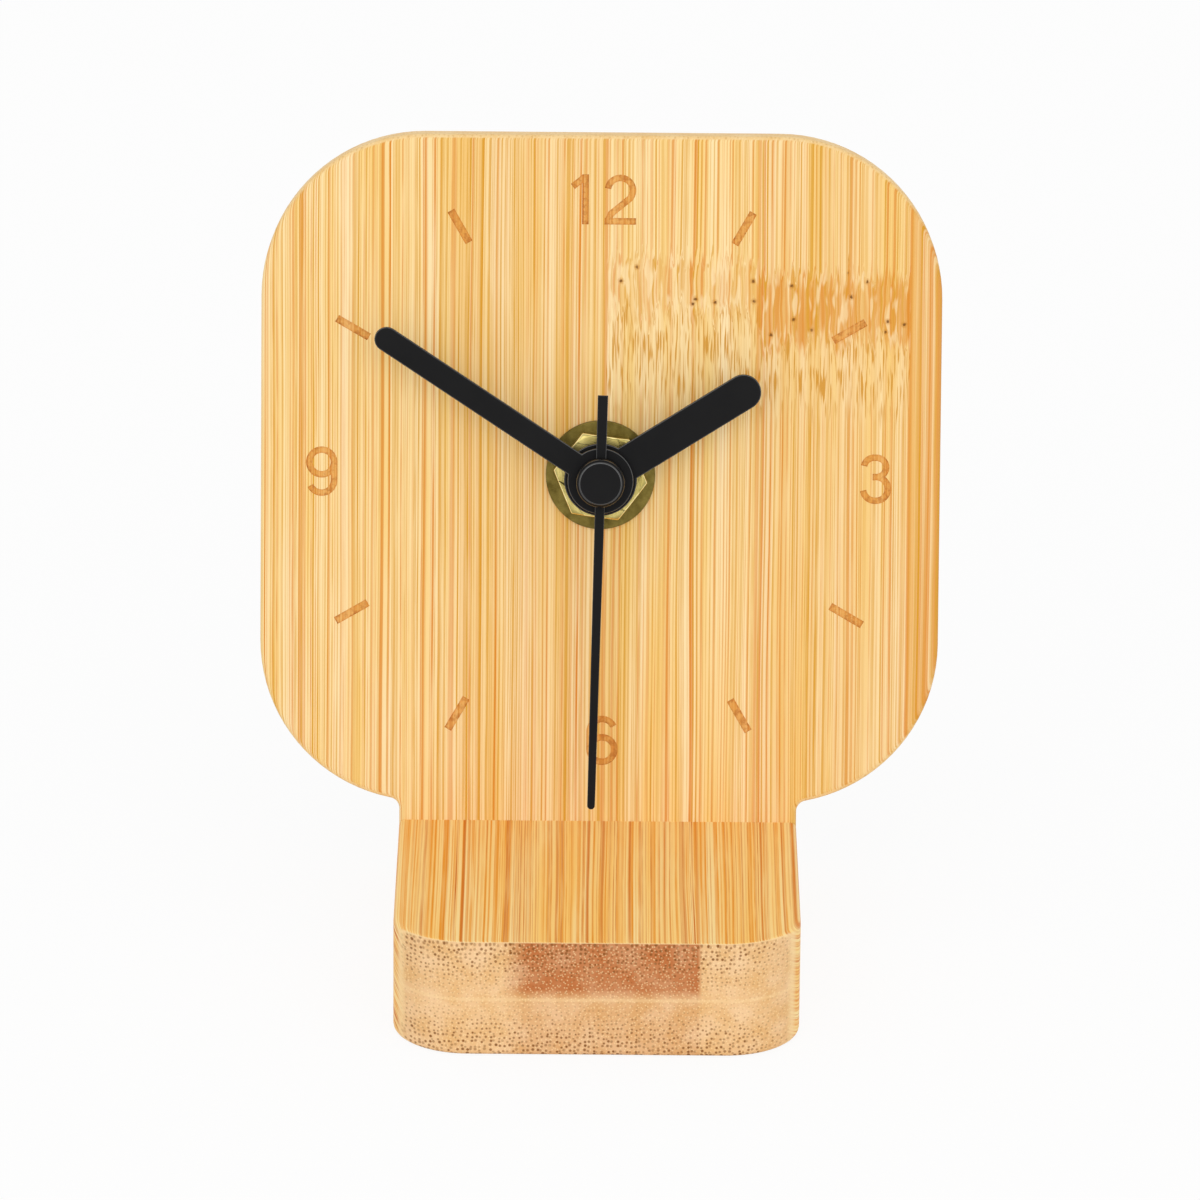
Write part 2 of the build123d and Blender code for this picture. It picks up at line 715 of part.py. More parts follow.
# Battery lying across the tub, its nub to the left
nub_tip = -case_half + strip_thickness + dimple_height
with BuildPart() as battery:
    with BuildSketch(along_case(nub_tip + nub_length, battery_rise, battery_depth)):
        Circle(battery_diameter / 2)
    extrude(amount=battery_length - nub_length)
    chamfer(battery.edges().filter_by(GeomType.CIRCLE), battery_edge)
    with BuildSketch(along_case(nub_tip, battery_rise, battery_depth)):
        Circle(nub_diameter / 2)
    extrude(amount=nub_length)
finish(battery, "battery")

# Contact strips: a pad at each end of the tub, bent over the partition to the board
strip_back = board_back + strip_width
pad_bottom = tub_bottom + pad_margin
pad_top = tub_top - pad_margin
pad_back = rim_depth - pad_margin
strip_top = chamber_bottom + strip_thickness
with BuildPart() as positive_contact:
    pad_inner = -case_half + strip_thickness
    strip_end = board_left + strip_width
    extrude(slab(board_back, -case_half, pad_inner, pad_bottom, strip_top), amount=-strip_width)
    extrude(slab(board_back, -case_half, strip_end, chamber_bottom, strip_top), amount=-strip_width)
    extrude(slab(board_back, -case_half, pad_inner, pad_bottom, pad_top), amount=board_back - pad_back)
    with BuildSketch(along_case(pad_inner, battery_rise, battery_depth)):
        Circle(dimple_diameter / 2)
    extrude(amount=dimple_height)
finish(positive_contact, "positive_contact")

battery_end = nub_tip + battery_length
with BuildPart() as negative_contact:
    pad_inner = case_half - strip_thickness
    strip_end = board_right - strip_width
    extrude(slab(board_back, pad_inner, case_half, pad_bottom, strip_top), amount=-strip_width)
    extrude(slab(board_back, strip_end, case_half, chamber_bottom, strip_top), amount=-strip_width)
    extrude(slab(board_back, pad_inner, case_half, pad_bottom, pad_top), amount=board_back - pad_back)
    bow_outer = battery_diameter * contact_bow_share
    bow_inner = bow_outer - 2 * strip_thickness
    with BuildSketch(at(battery_depth - dimple_diameter / 2)):
        with BuildLine():
            for crest, bow in ((battery_end, bow_outer), (battery_end + strip_thickness, bow_inner)):
                ThreePointArc(
                    (pad_inner, battery_rise - bow), (crest, battery_rise), (pad_inner, battery_rise + bow)
                )
            for side in (-1, 1):
                bow_foot = battery_rise + side * bow_outer
                Line((pad_inner, bow_foot), (pad_inner, battery_rise + side * bow_inner))
        make_face()
    extrude(amount=-dimple_diameter)
finish(negative_contact, "negative_contact")

# Movement case: one moulding with the train chamber, the battery tub, posts and pivot bosses
with BuildPart() as movement_case:
    extrude(
        slab(case_front, -case_width / 2, case_width / 2, case_bottom, case_top, case_corner_radius),
        amount=case_front - case_back,
    )
    case_face = movement_case.faces().sort_by(Axis(dial_face.origin, dial_face.z_dir))[-1]
    chamfer(case_face.edges(), case_front_ease)
    extrude(
        slab(case_inside, -case_half, case_half, chamber_bottom, chamber_top),
        amount=case_inside - case_back,
        mode=Mode.SUBTRACT,
    )
    extrude(
        slab(case_inside, -case_half, case_half, tub_bottom, tub_top),
        amount=case_inside - case_back,
        mode=Mode.SUBTRACT,
    )
    extrude(
        slab(rim_depth, -case_width / 2 - overrun, case_width / 2 + overrun, tub_top, case_top + overrun),
        amount=-cover_thickness - overrun,
        mode=Mode.SUBTRACT,
    )
    for side in (-1, 1):
        notch_left = min(side * case_half, side * (case_half - strip_thickness - notch_play))
        notch_right = notch_left + strip_thickness + notch_play
        extrude(
            slab(board_back - notch_play, notch_left, notch_right, tub_top, chamber_bottom),
            amount=-strip_width - 2 * notch_play,
            mode=Mode.SUBTRACT,
        )
    for post in posts:
        extrude(post_face(case_inside, post_shoulder_diameter, post), amount=-board_standoff)
        extrude(post_face(case_inside, post_diameter, post), amount=case_inside - bridge_front)
        extrude(post_face(bridge_front, peg_diameter, post), amount=-bridge_thickness)
    for post in motor_posts:
        extrude(post_face(case_inside, motor_post_diameter, post), amount=case_inside - core_front)
        extrude(post_face(core_front, motor_peg_diameter, post), amount=-2 * stator_thickness - layer_gap)
    for axis in (third_axis, intermediate_axis, rotor_axis, setting_axis):
        extrude(post_face(case_inside, boss_diameter, axis), amount=-boss_height)
        pivot_socket = disc(case_inside - pivot_depth, pivot_hole, axis)
        extrude(pivot_socket, amount=-pivot_depth - boss_height, mode=Mode.SUBTRACT)
    extrude(disc(case_front, bush_diameter), amount=-case_wall, mode=Mode.SUBTRACT)
finish(movement_case, "movement_case")

# Train bridge on the case posts, carrying the rear pivots
with BuildPart() as train_bridge:
    post_lefts = [post[0] for post in posts]
    post_rises = [post[1] for post in posts]
    bridge_rise = max(post_rises) + bridge_margin
    extrude(
        slab(
            bridge_front,
            min(post_lefts) - bridge_margin,
            max(post_lefts) + bridge_margin,
            min(post_rises) - bridge_margin + hub_margin,
            bridge_rise,
            bridge_corner_radius,
        ),
        amount=-bridge_thickness,
    )
    for axis in (hub, third_axis, intermediate_axis, rotor_axis):
        extrude(disc(bridge_front, pivot_hole, axis), amount=-bridge_thickness, mode=Mode.SUBTRACT)
    for post in posts:
        extrude(post_face(bridge_front, peg_diameter, post), amount=-bridge_thickness, mode=Mode.SUBTRACT)
    extrude(disc(bridge_front, setting_hole, setting_axis), amount=-bridge_thickness, mode=Mode.SUBTRACT)
finish(train_bridge, "train_bridge")

# Rear cover over the train chamber, with a locating rim and a dished seat for the knob
with BuildPart() as rear_cover:
    extrude(
        slab(rim_depth, -case_width / 2, case_width / 2, tub_top, case_top),
        amount=-cover_thickness,
    )
    corner_edges = rear_cover.edges().filter_by(Axis(dial_face.origin, dial_face.z_dir))
    fillet(corner_edges.group_by(Axis(dial_face.origin, plate_rise))[-1], case_corner_radius)
    rim_half = case_half - cover_play
    rim_bottom = chamber_bottom + cover_play
    rim_top = chamber_top - cover_play
    extrude(slab(rim_depth, -rim_half, rim_half, rim_bottom, rim_top), amount=cover_rim_height)
    extrude(
        slab(
            rim_depth,
            -rim_half + cover_rim_wall,
            rim_half - cover_rim_wall,
            rim_bottom + cover_rim_wall,
            rim_top - cover_rim_wall,
        ),
        amount=cover_rim_height,
        mode=Mode.SUBTRACT,
    )
    knob_seat = disc(case_back - knob_recess_depth, knob_diameter + 2 * knob_recess_margin, setting_axis)
    extrude(knob_seat, amount=-knob_recess_depth, mode=Mode.SUBTRACT)
    extrude(disc(rim_depth, setting_hole, setting_axis), amount=-cover_thickness, mode=Mode.SUBTRACT)
finish(rear_cover, "rear_cover")
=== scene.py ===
"""Bamboo desk clock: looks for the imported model, in metres and in the same frame as the solids.

The dial faces -Y and leans back, and the floor is z = 0. Lengths are written in millimetres times MM.
"""

import json
import math

import bpy
from mathutils import Matrix, Vector


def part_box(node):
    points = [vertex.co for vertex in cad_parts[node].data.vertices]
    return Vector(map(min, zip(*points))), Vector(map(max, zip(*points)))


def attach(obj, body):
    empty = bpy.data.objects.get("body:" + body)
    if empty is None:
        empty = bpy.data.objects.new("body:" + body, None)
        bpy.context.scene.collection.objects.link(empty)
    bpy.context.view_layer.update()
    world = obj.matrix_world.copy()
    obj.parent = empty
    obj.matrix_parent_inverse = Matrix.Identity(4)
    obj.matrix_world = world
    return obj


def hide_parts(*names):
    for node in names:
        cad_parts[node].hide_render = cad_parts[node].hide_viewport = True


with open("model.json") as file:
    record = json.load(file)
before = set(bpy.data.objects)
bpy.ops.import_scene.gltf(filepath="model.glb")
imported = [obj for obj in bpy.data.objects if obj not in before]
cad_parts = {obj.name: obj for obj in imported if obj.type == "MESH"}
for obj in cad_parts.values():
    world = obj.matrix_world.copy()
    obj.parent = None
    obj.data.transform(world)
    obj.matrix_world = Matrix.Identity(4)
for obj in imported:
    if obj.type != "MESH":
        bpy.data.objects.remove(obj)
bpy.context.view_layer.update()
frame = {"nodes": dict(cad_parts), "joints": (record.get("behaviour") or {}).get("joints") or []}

MM = 0.001
MERGE_DISTANCE = 0.001 * MM
FLAT_ANGLE = math.radians(0.5)
SHARP_ANGLE = math.radians(35)

# The dial's own frame: origin on the face at the hands' axis, x across, y up the plate, z outwards
spins = {joint["name"]: joint for joint in frame["joints"]}
HUB = Vector(spins["second_hand_spin"]["pos_m"])
OUTWARD = -Vector(spins["second_hand_spin"]["axis"])
ACROSS = Vector((1, 0, 0))
RISE = OUTWARD.cross(ACROSS)
DIAL = Matrix.Translation(HUB) @ Matrix((ACROSS, RISE, OUTWARD)).transposed().to_4x4()
DIAL_TURN = (math.acos(OUTWARD.z), 0, 0)

# Bamboo base block, taken from the solid
BASE_LOW, BASE_HIGH = (Vector(corner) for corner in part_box("base_block"))
BASE_MIDDLE = Vector((0, 0, (BASE_LOW.z + BASE_HIGH.z) / 2))
BASE_WIDTH = BASE_HIGH.x - BASE_LOW.x
BASE_CORNER = 10.0 * MM
EDGE_EASE = 0.8 * MM
EASE_STEPS = 4
CORNER_STEPS = 20

# Dial plate: rounded square on a neck as wide as the base, with a tenon that stands in the base's slot
PLATE_WIDTH = 92.0 * MM
PLATE_HEIGHT = 91.0 * MM
PLATE_THICKNESS = 6.0 * MM
PLATE_CORNER = 22.0 * MM
SQUARE_MIDDLE = 0.5 * MM
NECK_FILLET = 1.5 * MM
TENON_LENGTH = 9.0 * MM
FOOT = -(HUB.z - BASE_HIGH.z) / RISE.z
BORE = 8.2 * MM
BORE_SIDES = 64
OVERRUN = 1.0 * MM

# Engraving: a ring of eight ticks and four plain numerals, burnt a little way into the face
ENGRAVE_DEPTH = 0.3 * MM
ENGRAVE_WIDTH = 0.88 * MM
RING_MIDDLE = Vector((-0.06, 0.35, 0)) * MM
RING_STRETCH = Vector((1.014, 0.994, 1))
TICK_INNER = 35.9 * MM
TICK_OUTER = 40.85 * MM
TICK_WIDTH = 1.05 * MM
TICK_HOURS = (1, 2, 4, 5, 7, 8, 10, 11)
HOUR_STEP = 30
NUMERAL_HEIGHT = 6.75 * MM
NUMERAL_WIDTH = 4.25 * MM
TWELVE_AT = Vector((0.1, 37.35)) * MM
THREE_AT = Vector((37.25, -0.35)) * MM
SIX_AT = Vector((0.5, -36.4)) * MM
NINE_AT = Vector((-37.75, 0.15)) * MM
ONE_SHIFT = -2.42 * MM
TWO_SHIFT = 2.28 * MM
FLAG_REACH = 1.72 * MM
FLAG_DROP = 1.2 * MM
FLAG_OVERLAP = 0.1 * MM
TWO_BEND = (-1.22 * MM, -1.9 * MM)
THREE_WAIST = 0.3 * MM
THREE_HEAD = 0.1 * MM
THREE_HEAD_LEFT = -0.25 * MM
THREE_WAIST_END = -0.4 * MM
CURL_START = 172
TWO_CURL = 212
THREE_CURL = 82
NINE_CURL = 155
PEN_STEP = 9
OUTLINE_STEP = 4

# Small rounded edges, as stamping, turning and moulding leave them
HAND_EASE = 0.12 * MM
SECOND_HAND_EASE = 0.07 * MM
NUT_EASE = 0.15 * MM
WASHER_EASE = 0.1 * MM
CASE_EASE = 0.25 * MM
KNOB_EASE = 0.2 * MM
GASKET_EASE = 0.15 * MM
CELL_EASE = 0.4 * MM

# Bamboo, in millimetres: how far its fibres wander and how far streaks, bands and knuckles run
LEAN = 0.8
LEAN_RUN = 70.0
SWAY = 0.7
DEEP_SHARE = 0.9
STRIP_JUMP = 53.7
LONG_SHARE = 30.0
AMBER_BAND = 1.1
AMBER_RUN = 300.0
RAGGED = 6.0
SOFT_EDGE = 2.0
SEAM = 0.3
PORE_SPACING = 2.6
PORE_WOBBLE = 0.3
SCORCH = 0.6
FIBRE_RELIEF = 0.05 * MM

# Bamboo's end grain, in millimetres: its dots thin out towards the glue line and the right-hand side
CLOUD = 4.0
SPECK_SPACING = 0.5
FIBRE_END_SPACING = 0.62
THIN_HEIGHT = 0.5
DENSE_HEIGHT = 7.5
DENSE_RIGHT = 18.0
THIN_RIGHT = 26.0
GLUE_HALF = 0.1
GLUE_SOFT = 0.35
PALE_EDGE_LINE = 2.4

# The dark strip in the base's upper board, in millimetres from the middle of its front
DARK_LEFT = -11.8
DARK_LEFT_SOFT = 3.5
DARK_RIGHT = 13.9
DARK_RIGHT_SOFT = 0.6
DARK_FOOT = 0.1
DARK_FULL = 1.5
DARK_WANDER = 1.6
DARK_SHARE = 0.67
DARK_SHARE_BELOW = 0.2

# Brass, battery film and wire in millimetres, against the length of a wave node's wave at scale 1
WAVE_LENGTH = math.pi / 10
LATHE_PITCH = 0.19635
LATHE_RELIEF = 0.02 * MM
DULL_PATCH = 1.6
COPPER_BAND = -12.0
COPPER_BAND_SOFT = 0.2
FILM_HAZE = 5.0
WIRE_PITCH = 0.28274
WIRE_RELIEF = 0.05 * MM

# Bamboo: colours, strips in millimetres, amber tones by strip, and lines by spacing, half widths, strength
DIAL_BAMBOO = {
    "pale": "#FCE2AE", "mid": "#F6CF80", "fibre": "#D89A24", "deep": "#DC8826", "amber": "#DC902C",
    "dash": "#D2922A", "halo": "#C07A1C", "pore": "#5A3208", "pith": "#F8D69A", "pith_warm": "#F2C884",
    "shade": "#C88A58", "speck": "#FADFAA", "dot": "#D8A866",
    "strip_edge": 0.55, "strip_width": 20.6, "seam": 0.5, "band": 2.6,
    "tones": ((-1, 0.22), (1, 0.18), (2, 0.9)),
    "lines": ((0.36, 0.1, 0.22, 0.75), (0.8, 0.06, 0.14, 1.0), (3.4, 0.02, 0.05, 1.0)),
}
BASE_BAMBOO = {
    "pale": "#FFE29E", "mid": "#FFD078", "fibre": "#EC9622", "deep": "#D47212", "amber": "#E49E3E",
    "dash": "#D99C3C", "halo": "#C07A1C", "pore": "#6B4420", "pith": "#F2CA9A", "pith_warm": "#E6B67A",
    "shade": "#B8622C", "speck": "#FFE0A8", "dot": "#85501C",
    "strip_edge": -12.0, "strip_width": 25.4, "seam": 0.4, "band": 2.6,
    "tones": (),
    "lines": ((0.36, 0.1, 0.24, 0.8), (0.75, 0.08, 0.18, 1.0), (2.2, 0.03, 0.07, 1.0)),
}
BURNT_BAMBOO = dict(DIAL_BAMBOO, pale="#EFBC70", mid="#E6A850", fibre="#DA943C", deep="#D28434",
                    shade="#B97030")

# Each knuckle: left and right of its strip, its top and foot, where the broken fibres end, and its stain
DIAL_KNUCKLES = ((0.55, 21.15, 30.0, 21.5, 8.5, 0.28), (21.15, 41.75, 28.0, 17.2, 7.0, 0.85))

# Camera, matched to the photograph: a long lens from a little above, with a slight roll
FRAME_PIXELS = 1200
PIXELS_PER_MM = 7.3494
VIEW_DISTANCE = 1267.2 * MM
VIEW_ELEVATION = math.radians(19.686)
VIEW_TURN = math.radians(-0.0631)
VIEW_ROLL = math.radians(0.4826)
AIM_RIGHT = 0.0655 * MM
AIM_UP = 30.079 * MM
SENSOR = 36.0

# Studio
FLOOR_SIZE = 12.0
FLOOR_GAP = 0.05 * MM
FLOOR_GLOW_SHARE = 0.9
SKY_LEVEL = 0.8
SOFT_BOX_SIZE = 1.0
KEY_AT = (-0.4, -1.5, 0.75)
KEY_WATTS = 4.6
FILL_AT = (0.5, -1.5, 0.65)
FILL_WATTS = 3.7


def linear(hex_colour):
    """An sRGB hex colour as linear red, green, blue and full alpha."""
    shares = [int(hex_colour[i:i + 2], 16) / 255 for i in (1, 3, 5)]
    return [s / 12.92 if s <= 0.04045 else ((s + 0.055) / 1.055) ** 2.4 for s in shares] + [1.0]


# Workbench: selecting, editing and finishing pieces

def only(piece):
    """Select one piece alone and make it active."""
    bpy.ops.object.select_all(action="DESELECT")
    piece.select_set(True)
    bpy.context.view_layer.objects.active = piece


def pick(piece, kind, wanted):
    """Enter edit mode with just the wanted vertices or edges selected, by their places."""
    only(piece)
    bpy.ops.object.mode_set(mode="EDIT")
    bpy.ops.mesh.select_mode(type=kind)
    bpy.ops.mesh.select_all(action="DESELECT")
    bpy.ops.object.mode_set(mode="OBJECT")
    points = piece.data.vertices
    if kind == "VERT":
        for point in points:
            point.select = wanted(point.co)
    else:
        for edge in piece.data.edges:
            edge.select = wanted(*(points[end].co for end in edge.vertices))
    bpy.ops.object.mode_set(mode="EDIT")


def shape(piece, kind, **settings):
    """Add a modifier with its settings and apply it."""
    only(piece)
    modifier = piece.modifiers.new(kind.lower(), kind)
    for option, value in settings.items():
        setattr(modifier, option, value)
    bpy.ops.object.modifier_apply(modifier=modifier.name)


def cut(piece, cutter, **settings):
    """Take the cutter out of the piece and throw the cutter away."""
    shape(piece, "BOOLEAN", object=cutter, operation="DIFFERENCE", solver="EXACT", **settings)
    bpy.data.objects.remove(cutter)


def settle(piece):
    """Merge doubles and flat facets, and point the faces outwards."""
    only(piece)
    bpy.ops.object.mode_set(mode="EDIT")
    bpy.ops.mesh.select_all(action="SELECT")
    bpy.ops.mesh.remove_doubles(threshold=MERGE_DISTANCE)
    bpy.ops.mesh.dissolve_limited(angle_limit=FLAT_ANGLE)
    bpy.ops.mesh.normals_make_consistent(inside=False)
    bpy.ops.object.mode_set(mode="OBJECT")


def ease(piece, width, steps, edge_slot=-1):
    """Round the sharp edges by a small width, with their own finish where one is named."""
    shape(piece, "BEVEL", width=width, segments=steps, limit_method="ANGLE", angle_limit=SHARP_ANGLE,
          use_clamp_overlap=False, material=edge_slot)


def smooth(piece):
    """Shade smooth over gentle edges, with flat faces kept flat."""
    only(piece)
    bpy.ops.object.shade_smooth_by_angle(angle=SHARP_ANGLE)
    shape(piece, "WEIGHTED_NORMAL", keep_sharp=True)


def stand(piece, place):
    """Move a piece's mesh to its place, so that the object stays at the origin."""
    only(piece)
    piece.matrix_world = place
    bpy.ops.object.transform_apply(location=True, rotation=True, scale=True)


def block(name, low, high):
    """A cube primitive that fills the box between two corners."""
    low, high = Vector(low), Vector(high)
    bpy.ops.object.select_all(action="DESELECT")
    bpy.ops.mesh.primitive_cube_add(size=1, location=(low + high) / 2, scale=high - low)
    bpy.context.object.name = name
    bpy.ops.object.transform_apply(location=True, rotation=True, scale=True)
    return bpy.context.object


def round_corners(piece, radius):
    """Round a block's upright edges."""
    pick(piece, "EDGE", lambda a, b: abs(a.z - b.z) > MERGE_DISTANCE)
    bpy.ops.mesh.bevel(offset=radius, offset_type="OFFSET", segments=CORNER_STEPS, affect="EDGES")
    bpy.ops.object.mode_set(mode="OBJECT")


def dress(piece, body, node):
    """Give a finished piece the body it rides on, and hide the solid it stands for."""
    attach(piece, body)
    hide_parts(node)


def eased_copy(node, name, width, finish, edge_finish=None, steps=2):
    """A copy of a solid with its sharp edges rounded, as moulding, stamping or turning leaves them."""
    piece = bpy.data.objects.new(name, frame["nodes"][node].data.copy())
    bpy.context.scene.collection.objects.link(piece)
    only(piece)
    bpy.ops.mesh.customdata_custom_splitnormals_clear()
    settle(piece)
    piece.data.materials.clear()
    piece.data.materials.append(finish)
    if edge_finish:
        piece.data.materials.append(edge_finish)
    ease(piece, width, steps, edge_slot=len(piece.data.materials) - 1)
    smooth(piece)
    return piece


# Materials

def add(tree, kind, inputs=None, **settings):
    """Add a shader node with its settings, and fill its inputs with values or links."""
    made = tree.nodes.new("ShaderNode" + kind)
    for option, value in settings.items():
        setattr(made, option, value)
    for socket, source in (inputs or {}).items():
        if isinstance(source, bpy.types.Node):
            source = source.outputs[0]
        if isinstance(source, bpy.types.NodeSocket):
            tree.links.new(source, made.inputs[socket])
        else:
            made.inputs[socket].default_value = source
    return made


def start_material(name, roughness, metallic=0.0, specular=0.5):
    """A named node material: its tree, its shader and Object coordinates."""
    material = bpy.data.materials.new(name)
    material.use_nodes = True
    tree = material.node_tree
    shader = tree.nodes["Principled BSDF"]
    shader.inputs["Roughness"].default_value = roughness
    shader.inputs["Metallic"].default_value = metallic
    shader.inputs["Specular IOR Level"].default_value = specular
    coords = add(tree, "TexCoord")
    return material, tree, shader, coords


def bench_mapping(tree, coords, middle=(0, 0, 0), turn=(0, 0, 0)):
    """Object coordinates in millimetres about a middle, turned to lie with the piece."""
    return add(tree, "Mapping", {"Vector": coords.outputs["Object"], "Location": middle, "Rotation": turn,
                                 "Scale": (MM, MM, MM)}, vector_type="TEXTURE")


def streaks(tree, across, along, width, length, detail=1.0):
    """Soft random streaks of a width and a length in millimetres."""
    wide = add(tree, "Math", {0: across, 1: width}, operation="DIVIDE")
    far = add(tree, "Math", {0: along, 1: length}, operation="DIVIDE")
    place = add(tree, "CombineXYZ", {0: wide, 1: far})
    return add(tree, "TexNoise", {"Vector": place, "Scale": 1.0, "Detail": detail})


def bamboo_knuckles(tree, across, along, knuckles):
    """The cane's knuckles across the strips: their places, amber stain and the broken fibres below."""
    starts = streaks(tree, across, along, width=0.5, length=14.0, detail=2.0)
    shift = add(tree, "MapRange", {"Value": starts, "To Min": -RAGGED, "To Max": RAGGED})
    height = add(tree, "Math", {0: along, 1: shift}, operation="ADD")
    knuckle, stain, broken = 0.0, 0.0, 0.0
    for left, right, top, foot, end, amber in knuckles:
        past_left = add(tree, "Math", {0: across, 1: left}, operation="GREATER_THAN")
        before_right = add(tree, "Math", {0: across, 1: right}, operation="LESS_THAN")
        inside = add(tree, "Math", {0: past_left, 1: before_right}, operation="MULTIPLY")
        under = add(tree, "MapRange", {"Value": height, "From Min": top, "From Max": top - SOFT_EDGE})
        over = add(tree, "MapRange", {"Value": height, "From Min": foot, "From Max": foot + SOFT_EDGE})
        below = add(tree, "MapRange", {"Value": height, "From Min": foot + SOFT_EDGE, "From Max": foot})
        above = add(tree, "MapRange", {"Value": height, "From Min": end, "From Max": end + 2 * SOFT_EDGE})
        core = add(tree, "Math", {0: under, 1: over}, operation="MULTIPLY")
        seen = add(tree, "Math", {0: core, 1: inside}, operation="MULTIPLY")
        fibres = add(tree, "Math", {0: below, 1: above}, operation="MULTIPLY")
        knuckle = add(tree, "Math", {0: seen, 1: knuckle}, operation="ADD")
        stain = add(tree, "Math", {0: seen, 1: amber, 2: stain}, operation="MULTIPLY_ADD")
        broken = add(tree, "Math", {0: fibres, 1: inside, 2: broken}, operation="MULTIPLY_ADD")
    return knuckle, stain, broken


def fibre_place(tree, across, along, deep, strip, knuckle):
    """Where a point lies across its strip's own fibres, which wander up the cane and more at a knuckle."""
    lean = streaks(tree, across, along, width=7.0, length=LEAN_RUN)
    leaning = add(tree, "Math", {0: lean, 1: LEAN, 2: across}, operation="MULTIPLY_ADD")
    wander = streaks(tree, across, along, width=1.8, length=6.0)
    sway = add(tree, "Math", {0: wander, 1: knuckle}, operation="MULTIPLY")
    wavy = add(tree, "Math", {0: sway, 1: SWAY, 2: leaning}, operation="MULTIPLY_ADD")
    sunk = add(tree, "Math", {0: deep, 1: DEEP_SHARE, 2: wavy}, operation="MULTIPLY_ADD")
    return add(tree, "Math", {0: strip, 1: STRIP_JUMP, 2: sunk}, operation="MULTIPLY_ADD")


def bamboo_bands(tree, fibre, along, strip, stain, look):
    """Soft bands of light and dark, amber bands on some strips, and the knuckles' amber stain."""
    bands = streaks(tree, fibre, along, width=look["band"], length=look["band"] * LONG_SHARE, detail=4.0)
    band = add(tree, "MapRange", {"Value": bands, "From Min": 0.36, "From Max": 0.64})
    colour = add(tree, "MixRGB", {0: band, 1: linear(look["pale"]), 2: linear(look["mid"])})
    tone = 0.0
    for number, share in look["tones"]:
        same = add(tree, "Math", {0: strip, 1: number, 2: 0.5}, operation="COMPARE")
        tone = add(tree, "Math", {0: same, 1: share, 2: tone}, operation="MULTIPLY_ADD")
    ambers = streaks(tree, fibre, along, width=AMBER_BAND, length=AMBER_RUN, detail=2.0)
    warm = add(tree, "MapRange", {"Value": ambers, "From Min": 0.4, "From Max": 0.6, "To Min": 0.3})
    toned = add(tree, "Math", {0: tone, 1: warm}, operation="MULTIPLY")
    colour = add(tree, "MixRGB", {0: toned, 1: colour, 2: linear(look["amber"])})
    patchy = streaks(tree, fibre, along, width=0.7, length=18.0, detail=2.0)
    patch = add(tree, "MapRange", {"Value": patchy, "From Min": 0.35, "From Max": 0.6, "To Min": 0.3})
    stained = add(tree, "Math", {0: stain, 1: patch}, operation="MULTIPLY")
    return add(tree, "MixRGB", {0: stained, 1: colour, 2: linear(look["amber"])})


def fibre_lines(tree, colour, fibre, along, broken, look):
    """Fine, middling and bold fibre lines over a colour, faint among broken fibres. Gives both."""
    worn = add(tree, "MapRange", {"Value": broken, "To Min": 1.0, "To Max": 0.35})
    drawn = 0.0
    for spacing, narrow, wide, strength in look["lines"]:
        rows = add(tree, "TexVoronoi", {"W": fibre, "Scale": 1 / spacing}, voronoi_dimensions="1D")
        chance = add(tree, "SeparateColor", {0: rows.outputs["Color"]})
        half = add(tree, "MapRange", {"Value": chance.outputs[0], "To Min": narrow, "To Max": wide})
        soft = add(tree, "Math", {0: half, 1: 1.6}, operation="MULTIPLY")
        line = add(tree, "MapRange", {"Value": rows, "From Min": soft, "From Max": half})
        fades = streaks(tree, fibre, along, width=spacing, length=spacing * LONG_SHARE)
        fade = add(tree, "MapRange", {"Value": fades, "From Min": 0.3, "From Max": 0.55, "To Min": 0.35})
        bold = add(tree, "MapRange", {"Value": chance.outputs[1], "To Min": 0.25, "To Max": strength})
        faded = add(tree, "Math", {0: bold, 1: fade}, operation="MULTIPLY")
        kept = add(tree, "Math", {0: faded, 1: worn}, operation="MULTIPLY")
        drawn = add(tree, "Math", {0: line, 1: kept}, operation="MULTIPLY")
        rich = add(tree, "Math", {0: chance.outputs[2], 1: 0.65}, operation="GREATER_THAN")
        ink = add(tree, "MixRGB", {0: rich, 1: linear(look["fibre"]), 2: linear(look["deep"])})
        colour = add(tree, "MixRGB", {0: drawn, 1: colour, 2: ink})
    return colour, drawn


